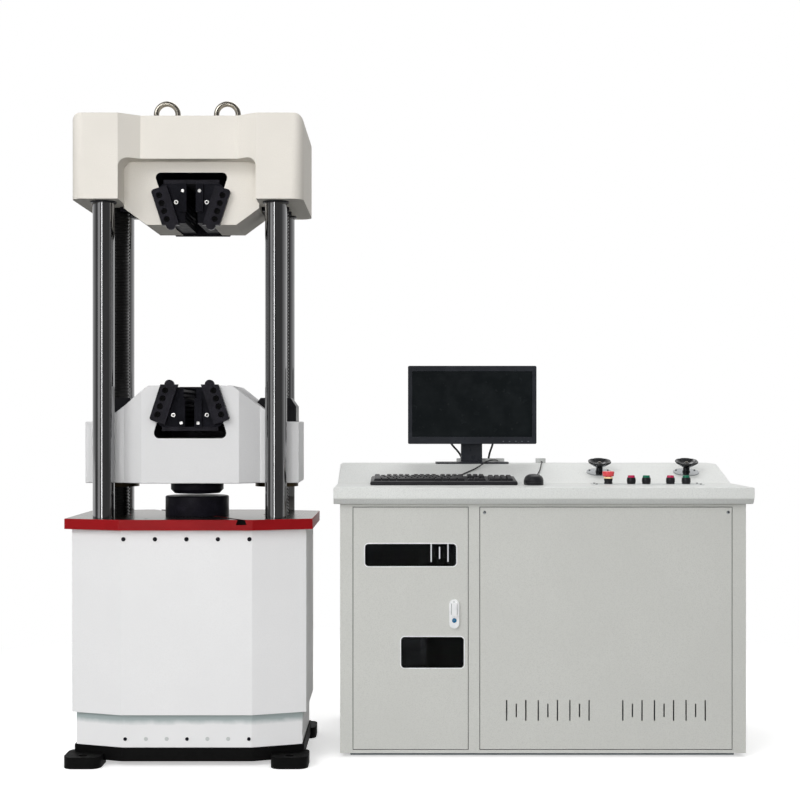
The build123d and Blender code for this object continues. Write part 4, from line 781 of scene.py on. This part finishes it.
def mouse():
    """Domed mouse with a parting groove and a scroll wheel."""
    low, high = span("mouse")
    relief = 6
    length = high.y - low.y - relief
    middle = Vector(((low.x + high.x) / 2, low.y + length / 2, low.z))
    half_x, half_y = (high.x - low.x) / 2, length / 2
    height = high.z - low.z
    groove = 10
    points = 32

    def loop(scale, level, shift):
        turns = [2 * math.pi * i / points for i in range(points)]
        return [(middle.x + scale * half_x * math.copysign(abs(math.cos(a)) ** 0.8, math.cos(a)),
                 middle.y + shift + scale * half_y * math.copysign(abs(math.sin(a)) ** 0.8, math.sin(a)),
                 middle.z + level) for a in turns]

    loops = [loop(0.93, 0, 0), loop(0.985, 2, 0), loop(1.0, groove - 1, 0), loop(0.97, groove - 0.8, 0),
             loop(0.97, groove + 0.6, 0), loop(0.995, groove + 0.8, 0)]
    for degrees in (12, 24, 36, 48, 60, 70, 78, 84):
        angle = math.radians(degrees)
        loops.append(loop(0.995 * math.cos(angle) ** 0.62, groove + (height - groove) * math.sin(angle),
                          -7 * math.sin(angle)))
    bm = bmesh.new()
    add_loft(bm, loops, Matrix.Scale(MM, 4))
    nose = middle.y + half_y
    add_turned(bm, [(0, 0), (3.6, 0), (3.6, 5), (2.4, 12), (0, 12)],
               (middle.x, nose - relief, low.z + 9), (0, 1, 0))
    piece = mesh_piece("mouse_shell", bm, "stand", "key_black", 40)
    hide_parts("mouse")
    wheel = bmesh.new()
    add_turned(wheel, [(0, 0), (8, 0), (9.5, 1.5), (9.5, 4.5), (8, 6), (0, 6)],
               (middle.x - 3, middle.y + 26, low.z + height - 11), (1, 0, 0))
    mesh_piece("mouse_wheel", wheel, "stand", "collar_black", 30)


def monitor():
    """Dark panel in the bezel, touch marks under it and louvres in the housing behind."""
    low, high = span("monitor")
    side, top, bottom, recess = 14, 18, 24, 1.5
    width, height = high.x - low.x - 2 * side, high.z - low.z - top - bottom
    middle_x = (low.x + high.x) / 2
    panel = bmesh.new()
    add_pad(panel, (width - 0.8, height - 0.8), 1.0, 0.8,
            (middle_x, low.y + recess, low.z + bottom + height / 2), (0, -1, 0), 0.4)
    mesh_piece("monitor_panel", panel, "stand", "monitor_black", 30, screen_glass)
    marks = bmesh.new()
    for i in range(5):
        add_pad(marks, (5, 1.6), 0.7, 0.4, (high.x - 112 + i * 21, low.y, low.z + 9), (0, -1, 0), 0.2)
    mesh_piece("monitor_marks", marks, "stand", "machine_grey")
    louvres = bmesh.new()
    for i in range(24):
        add_pad(louvres, (3, 34), 1.4, 1.2, (middle_x - 126.5 + i * 11, high.y, high.z - 68), (0, 1, 0), 0.5)
    mesh_piece("monitor_louvres", louvres, "stand", "monitor_black")


def button_collars():
    """Turned collars with a waist and a fine lip for the buttons and the emergency stop."""
    low, high = span("button_collars")
    bm = bmesh.new()
    rise = high.z - low.z
    for cap in ("pump_stop_button", "pump_start_button", "drive_stop_button", "drive_start_button"):
        cap_low, cap_high = span(cap)
        bore = (cap_high.x - cap_low.x) / 2 + 0.4
        x = (cap_low.x + cap_high.x) / 2
        add_turned(bm, [(bore, 3), (bore, 0), (12.6, 0), (13.2, 4), (14, 7), (14, rise - 5),
                        (13.4, rise - 3.6), (13.4, rise - 2.6), (13.0, rise - 0.6), (12.4, rise),
                        (bore, rise), (bore, 3)],
                   (x, BUTTON_Y, low.z), (0, 0, 1), 36)
    add_turned(bm, [(10.4, 0), (13.2, 0), (13.2, 4), (12.4, 6), (12.4, 9), (13.6, 12),
                    (13.6, STOP_COLLAR_RISE), (10.4, STOP_COLLAR_RISE), (10.4, 0)],
               (STOP_X, BUTTON_Y, low.z), (0, 0, 1), 36)
    piece = mesh_piece("button_collars_turned", bm, "stand", "collar_black", 35)
    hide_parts("button_collars")


def emergency_stop():
    """Mushroom head that widens to its top, with a pale ring in its skirt."""
    low, high = span("emergency_stop")
    head_low = high.z - STOP_HEAD_RISE
    bm = bmesh.new()
    recess = 10.6
    add_turned(bm, [(0, low.z - head_low), (10, low.z - head_low), (10, recess), (14.6, recess), (14.8, 1.2),
                    (16.6, 1.0), (17.2, 2.0), (18.4, 9.5), (19, 13.5), (18.6, 15.4), (17.0, 16.6),
                    (14, STOP_HEAD_RISE), (0, STOP_HEAD_RISE)],
               (STOP_X, BUTTON_Y, head_low), (0, 0, 1), 40)
    piece = mesh_piece("emergency_stop_head", bm, "stop_head", "stop_red", 35)
    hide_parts("emergency_stop")
    ring = bmesh.new()
    add_turned(ring, [(10.4, 0), (14.2, 0), (14.2, 1), (13.4, 5), (10.4, 5), (10.4, 0)],
               (STOP_X, BUTTON_Y, span("button_collars")[0].z + STOP_COLLAR_RISE), (0, 0, 1), 40)
    mesh_piece("emergency_stop_ring", ring, "stand", "lock_white", 35, ring_yellow)


def handwheels():
    """Dished wheels with lobed rims on waisted stems, turned about the valves' axes."""
    # Radius and height over the desk's slope, from the foot of the stem up over the rim into the dish
    profile = ((12.5, 3.4), (12.5, 6.4), (10.8, 7.4), (10.5, 15.5), (11.6, 18.2), (18.0, 21.8),
               (28.0, 28.0), (36.0, 33.2), (37.8, 34.8), (38.0, 36.2), (38.0, 38.4), (37.2, 39.8),
               (35.4, 40.2), (33.4, 39.4), (27.0, 33.6), (19.0, 28.6), (11.0, 26.4), (9.4, 26.6),
               (9.2, 32.6), (8.2, WHEEL_SCREW_RISE))
    points = 72
    angles = [2 * math.pi * i / points for i in range(points)]
    for node, body in (("feed_handwheel", "feed_wheel"), ("return_handwheel", "return_wheel")):
        low, high = span(node)
        seat = Vector(((low.x + high.x) / 2, VALVE_Y, VALVE_Z))
        loops = []
        for radius, height in profile:
            notch = WHEEL_NOTCH * min(1.0, max(0.0, (radius - 24) / 10))
            loop = []
            for angle in angles:
                out = radius - notch * max(0.0, math.cos(WHEEL_LOBES * angle)) ** 3
                loop.append((out * math.cos(angle), out * math.sin(angle), height))
            loops.append(loop)
        bm = bmesh.new()
        add_loft(bm, loops, aim(seat, VALVE_NORMAL))
        piece = mesh_piece(node + "_lobed", bm, body, "wheel_black", 35)
        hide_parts(node)
        screw = bmesh.new()
        add_socket_head(screw, seat + WHEEL_SCREW_RISE * VALVE_NORMAL, VALVE_NORMAL, 4.6, 3.0)
        mesh_piece(node + "_screw", screw, body, "steel", 30)


def door_fittings():
    """Rims round the windows, white as painted highlight over their rolled shape, a blue key cylinder with
    its slot, and a black pad round the lever as painted shadow in its gap.
    """
    face = span("cabinet_door")[0].y
    lock_low, lock_high = span("lock_body")
    rims = bmesh.new()
    for x, z, width, height in DOOR_WINDOWS:
        loops = []
        for grow, rise in ((-0.2, -2.5), (-0.2, 0.8), (0.6, 1.2), (2.2, 1.0), (2.8, 0.0)):
            plan = rounded_rectangle(0, 0, width + 2 * grow, height + 2 * grow, WINDOW_ROUND + grow, 8)
            loops.append([(p.x, p.y, rise) for p in plan])
        add_loft(rims, loops, aim((x, face, z), (0, -1, 0)), False)
    # The rims' rolled shape is real; their white is a painted highlight
    mesh_piece("window_rims", rims, "door", "lock_white", 50)
    key = bmesh.new()
    place = ((lock_low.x + lock_high.x) / 2, lock_low.y, LOCK_KEY_Z)
    add_turned(key, [(0, 0), (7.2, 0), (7.2, 0.5), (6.5, 0.9), (3.2, 0.9), (3.0, 0.5), (0, 0.5)], place,
               (0, -1, 0), 28)
    mesh_piece("key_cylinder", key, "door", "lock_white", 30, key_blue)
    slot = bmesh.new()
    add_pad(slot, (1.2, 4.2), 0.5, 0.8, place, (0, -1, 0), 0.2)
    mesh_piece("key_slot", slot, "door", "steel")
    # Painted shadow: a black pad just larger than the lever, behind it, darkens its gap
    recess = bmesh.new()
    lever_low, lever_high = span("lock_lever")
    lever_middle = (lever_low + lever_high) / 2
    add_pad(recess, (lever_high.x - lever_low.x + 2.6, lever_high.z - lever_low.z + 2.6), 9.2, 0.2,
            (lever_middle.x, lever_high.y + 0.3, lever_middle.z), (0, -1, 0), 0.1)
    mesh_piece("lever_recess", recess, "door", "collar_black")


def panel_screws():
    """Screws of the vent panel, button plate and back panel, and of the two dials."""
    panel_low, panel_high = span("vent_panel")
    plate_low, plate_high = span("button_plate")
    back_low, back_high = span("back_panel")
    front = bmesh.new()
    for x in (panel_low.x + 15, panel_high.x - 13):
        add_turned(front, [(0, 0), (5.4, 0), (5.2, 1.0), (4.3, 2.0), (2.6, 2.7), (0, 3.0)],
                   (x, panel_low.y, panel_high.z - 15), (0, -1, 0))
    mesh_piece("vent_panel_screws", front, "stand", "dial_steel", 30)
    bm = bmesh.new()
    for x in (plate_low.x + 10, plate_high.x - 10):
        for y in (plate_low.y + 12, plate_high.y - 12):
            add_socket_head(bm, (x, y, plate_high.z), (0, 0, 1), 3.4, 2.0)
    middle = (back_low + back_high) / 2
    for x in (-1, -0.34, 0.34, 1):
        for z in (-1, 1):
            spot = (middle.x + x * (back_high.x - back_low.x - 30) / 2, back_high.y,
                    middle.z + z * (back_high.z - back_low.z - 40) / 2)
            add_socket_head(bm, spot, (0, 1, 0), 4.5, 2.4)
    for wheel in ("feed_handwheel", "return_handwheel"):
        wheel_low, wheel_high = span(wheel)
        x = (wheel_low.x + wheel_high.x) / 2
        for degrees in (30, 150, 270):
            angle = math.radians(degrees)
            along = Vector((1, 0, 0)) * math.cos(angle) + VALVE_UP * math.sin(angle)
            spot = Vector((x, VALVE_Y, VALVE_Z)) + DIAL_SCREW_RADIUS * along + DIAL_THICK * VALVE_NORMAL
            add_socket_head(bm, spot, VALVE_NORMAL, 2.8, 1.8)
    mesh_piece("panel_screws", bm, "stand", "black_oxide", 30)


def tower_front():
    """Drive covers, button and air slots on the computer behind the door."""
    low, high = span("computer_tower")
    x = (low.x + high.x) / 2
    bm = bmesh.new()
    for z in (high.z - 45, high.z - 92):
        add_pad(bm, (148, 40), 3, 2.5, (x, low.y, z), (0, -1, 0), 1.0)
    add_turned(bm, [(0, 0), (11, 0), (11, 2), (9.5, 3), (8.5, 2), (0, 2)],
               (x, low.y, high.z - 145), (0, -1, 0))
    for i in range(9):
        add_pad(bm, (130, 5), 2.2, 2, (x, low.y, low.z + 30 + i * 13), (0, -1, 0), 0.8)
    mesh_piece("tower_front", bm, "stand", "collar_black", 30)


def soft_edges():
    """Edge radii of castings, sheet metal and mouldings, in millimetres."""
    for name in ("upper_crosshead", "moving_crosshead"):
        soften(name, 3.0, 3)
    for name in ("base_plate", "desk_top"):
        soften(name, 2.5, 3)
    for name in ("work_table", "upper_grip_plates", "lower_grip_plates"):
        soften(name, 1.2)
    for name in ("lower_platen", "upper_platen", "nut_covers", "monitor", "monitor_stand"):
        soften(name, 1.5)
    for name in ("upper_jaw_left", "upper_jaw_right", "lower_jaw_left", "lower_jaw_right", "cord_glands"):
        soften(name, 0.8)


def stage_floor():
    """Pale floor that keeps the shadow, fades to white far off and throws little light back up."""
    mesh = bpy.data.meshes.new("stage_floor")
    size = 30.0
    corners = [(-size, -size, 0), (size, -size, 0), (size, size, 0), (-size, size, 0)]
    mesh.from_pydata(corners, [], [(0, 1, 2, 3)])
    floor = bpy.data.objects.new("stage_floor", mesh)
    bpy.context.scene.collection.objects.link(floor)
    material = bpy.data.materials.new("stage_floor")
    material.use_nodes = True
    tree = material.node_tree
    tree.nodes.clear()
    link = tree.links.new
    dim = tree.nodes.new("ShaderNodeBsdfDiffuse")
    dim.inputs["Color"].default_value = (0.10, 0.10, 0.095, 1.0)
    pale = tree.nodes.new("ShaderNodeBsdfDiffuse")
    pale.inputs["Color"].default_value = (0.88, 0.88, 0.88, 1.0)
    glow = tree.nodes.new("ShaderNodeEmission")
    glow.inputs["Strength"].default_value = 0.45
    bright = tree.nodes.new("ShaderNodeAddShader")
    link(pale.outputs[0], bright.inputs[0])
    link(glow.outputs[0], bright.inputs[1])

    path = tree.nodes.new("ShaderNodeLightPath")
    white = tree.nodes.new("ShaderNodeEmission")
    centre = tree.nodes.new("ShaderNodeTexCoord")
    parts = tree.nodes.new("ShaderNodeSeparateXYZ")
    dim_end = tree.nodes.new("ShaderNodeMapRange")
    dim_end.inputs["From Min"].default_value = -3.0
    dim_end.inputs["From Max"].default_value = 1.0
    dim_end.inputs["To Min"].default_value = 0.12
    strength = tree.nodes.new("ShaderNodeMath")
    strength.operation = "MAXIMUM"
    link(centre.outputs["Object"], parts.inputs["Vector"])
    link(parts.outputs["Y"], dim_end.inputs["Value"])
    link(dim_end.outputs["Result"], strength.inputs[0])
    link(path.outputs["Is Camera Ray"], strength.inputs[1])
    link(strength.outputs[0], white.inputs["Strength"])
    middle = (cad_box[0] + cad_box[1]) / 2
    shift = tree.nodes.new("ShaderNodeVectorMath")
    shift.operation = "DISTANCE"
    shift.inputs[1].default_value = (middle.x, middle.y, 0.0)
    fade = tree.nodes.new("ShaderNodeMapRange")
    fade.interpolation_type = "SMOOTHSTEP"
    fade.inputs["From Min"].default_value = 1.1
    fade.inputs["From Max"].default_value = 2.6
    far = tree.nodes.new("ShaderNodeMixShader")
    link(centre.outputs["Object"], shift.inputs[0])
    link(shift.outputs["Value"], fade.inputs["Value"])
    link(fade.outputs["Result"], far.inputs["Fac"])
    link(bright.outputs[0], far.inputs[1])
    link(white.outputs[0], far.inputs[2])

    seen = tree.nodes.new("ShaderNodeMath")
    seen.operation = "MAXIMUM"
    choice = tree.nodes.new("ShaderNodeMixShader")
    out = tree.nodes.new("ShaderNodeOutputMaterial")
    link(path.outputs["Is Camera Ray"], seen.inputs[0])
    link(path.outputs["Is Glossy Ray"], seen.inputs[1])
    link(seen.outputs[0], choice.inputs["Fac"])
    link(dim.outputs[0], choice.inputs[1])
    link(far.outputs[0], choice.inputs[2])
    link(choice.outputs[0], out.inputs["Surface"])
    mesh.materials.append(material)


def studio_world():
    """White to the camera and glass; gloss sees white walls with one dim end; a sky lights the rest."""
    world = bpy.data.worlds.new("studio")
    bpy.context.scene.world = world
    world.use_nodes = True
    tree = world.node_tree
    tree.nodes.clear()
    link = tree.links.new

    def background(strength):
        made = tree.nodes.new("ShaderNodeBackground")
        made.inputs["Color"].default_value = (1.0, 1.0, 1.0, 1.0)
        made.inputs["Strength"].default_value = strength
        return made

    sky, white, walls = background(0.55), background(1.0), background(1.0)
    direction = tree.nodes.new("ShaderNodeTexCoord")
    parts = tree.nodes.new("ShaderNodeSeparateXYZ")
    dim_end = tree.nodes.new("ShaderNodeMapRange")
    dim_end.inputs["From Min"].default_value = -0.4
    dim_end.inputs["From Max"].default_value = 0.9
    dim_end.inputs["To Min"].default_value = 0.12
    dim_end.inputs["To Max"].default_value = 1.0
    link(direction.outputs["Generated"], parts.inputs["Vector"])
    link(parts.outputs["Y"], dim_end.inputs["Value"])
    link(dim_end.outputs["Result"], walls.inputs["Strength"])

    path = tree.nodes.new("ShaderNodeLightPath")
    clear = tree.nodes.new("ShaderNodeMath")
    clear.operation = "MAXIMUM"
    gloss = tree.nodes.new("ShaderNodeMixShader")
    choice = tree.nodes.new("ShaderNodeMixShader")
    out = tree.nodes.new("ShaderNodeOutputWorld")
    link(path.outputs["Is Camera Ray"], clear.inputs[0])
    link(path.outputs["Is Transmission Ray"], clear.inputs[1])
    link(path.outputs["Is Glossy Ray"], gloss.inputs["Fac"])
    link(sky.outputs[0], gloss.inputs[1])
    link(walls.outputs[0], gloss.inputs[2])
    link(clear.outputs[0], choice.inputs["Fac"])
    link(gloss.outputs[0], choice.inputs[1])
    link(white.outputs[0], choice.inputs[2])
    link(choice.outputs[0], out.inputs["Surface"])


def lamp(name, place, target, size, power, mirrored=True):
    """Soft rectangular lamp that looks at a target, in metres, and that gloss may mirror."""
    light = bpy.data.lights.new(name, "AREA")
    light.shape = "RECTANGLE"
    light.size, light.size_y = size
    light.energy = power
    holder = bpy.data.objects.new(name, light)
    holder.location = place
    holder.visible_glossy = mirrored
    holder.rotation_euler = (Vector(target) - Vector(place)).to_track_quat("-Z", "Y").to_euler()
    bpy.context.scene.collection.objects.link(holder)


def studio_lamps():
    lamp("key_lamp", (-4.0, -6.0, 5.4), (0.4, 0.0, 0.9), (4.4, 3.0), 220)
    lamp("top_lamp", (1.2, 2.4, 4.6), (1.1, 0.1, 0.8), (3.0, 1.6), 55)
    lamp("front_lamp", (0.6, -6.4, 1.5), (0.7, 0.0, 0.6), (4.0, 1.6), 140, False)
    lamp("strip_lamp", (-0.9, -4.8, 1.5), (0.0, 0.0, 1.3), (0.40, 2.6), 22)
    lamp("panel_lamp", (-3.0, -3.6, 1.5), (0.0, 0.0, 1.3), (2.2, 2.6), 12)


def studio_camera():
    camera = bpy.data.cameras.new("camera")
    camera.lens = CAMERA_LENS
    camera.sensor_width = CAMERA_SENSOR
    camera.shift_y = CAMERA_SHIFT_Y
    holder = bpy.data.objects.new("camera", camera)
    holder.location = Vector(CAMERA_PLACE) * MM
    holder.rotation_euler = (math.radians(90), 0, 0)
    bpy.context.scene.collection.objects.link(holder)
    bpy.context.scene.camera = holder


dress_nodes()
cords()
lead_screw_thread("lead_screw_left", -SCREW_X, "left_screw")
lead_screw_thread("lead_screw_right", SCREW_X, "right_screw")
skirt_screws()
crosshead_bolts()
table_screws()
grip_fittings()
keyboard()
mouse()
monitor()
button_collars()
emergency_stop()
handwheels()
door_fittings()
panel_screws()
tower_front()
soft_edges()
stage_floor()
studio_world()
studio_lamps()
studio_camera()
bpy.context.scene.view_settings.view_transform = "Standard"
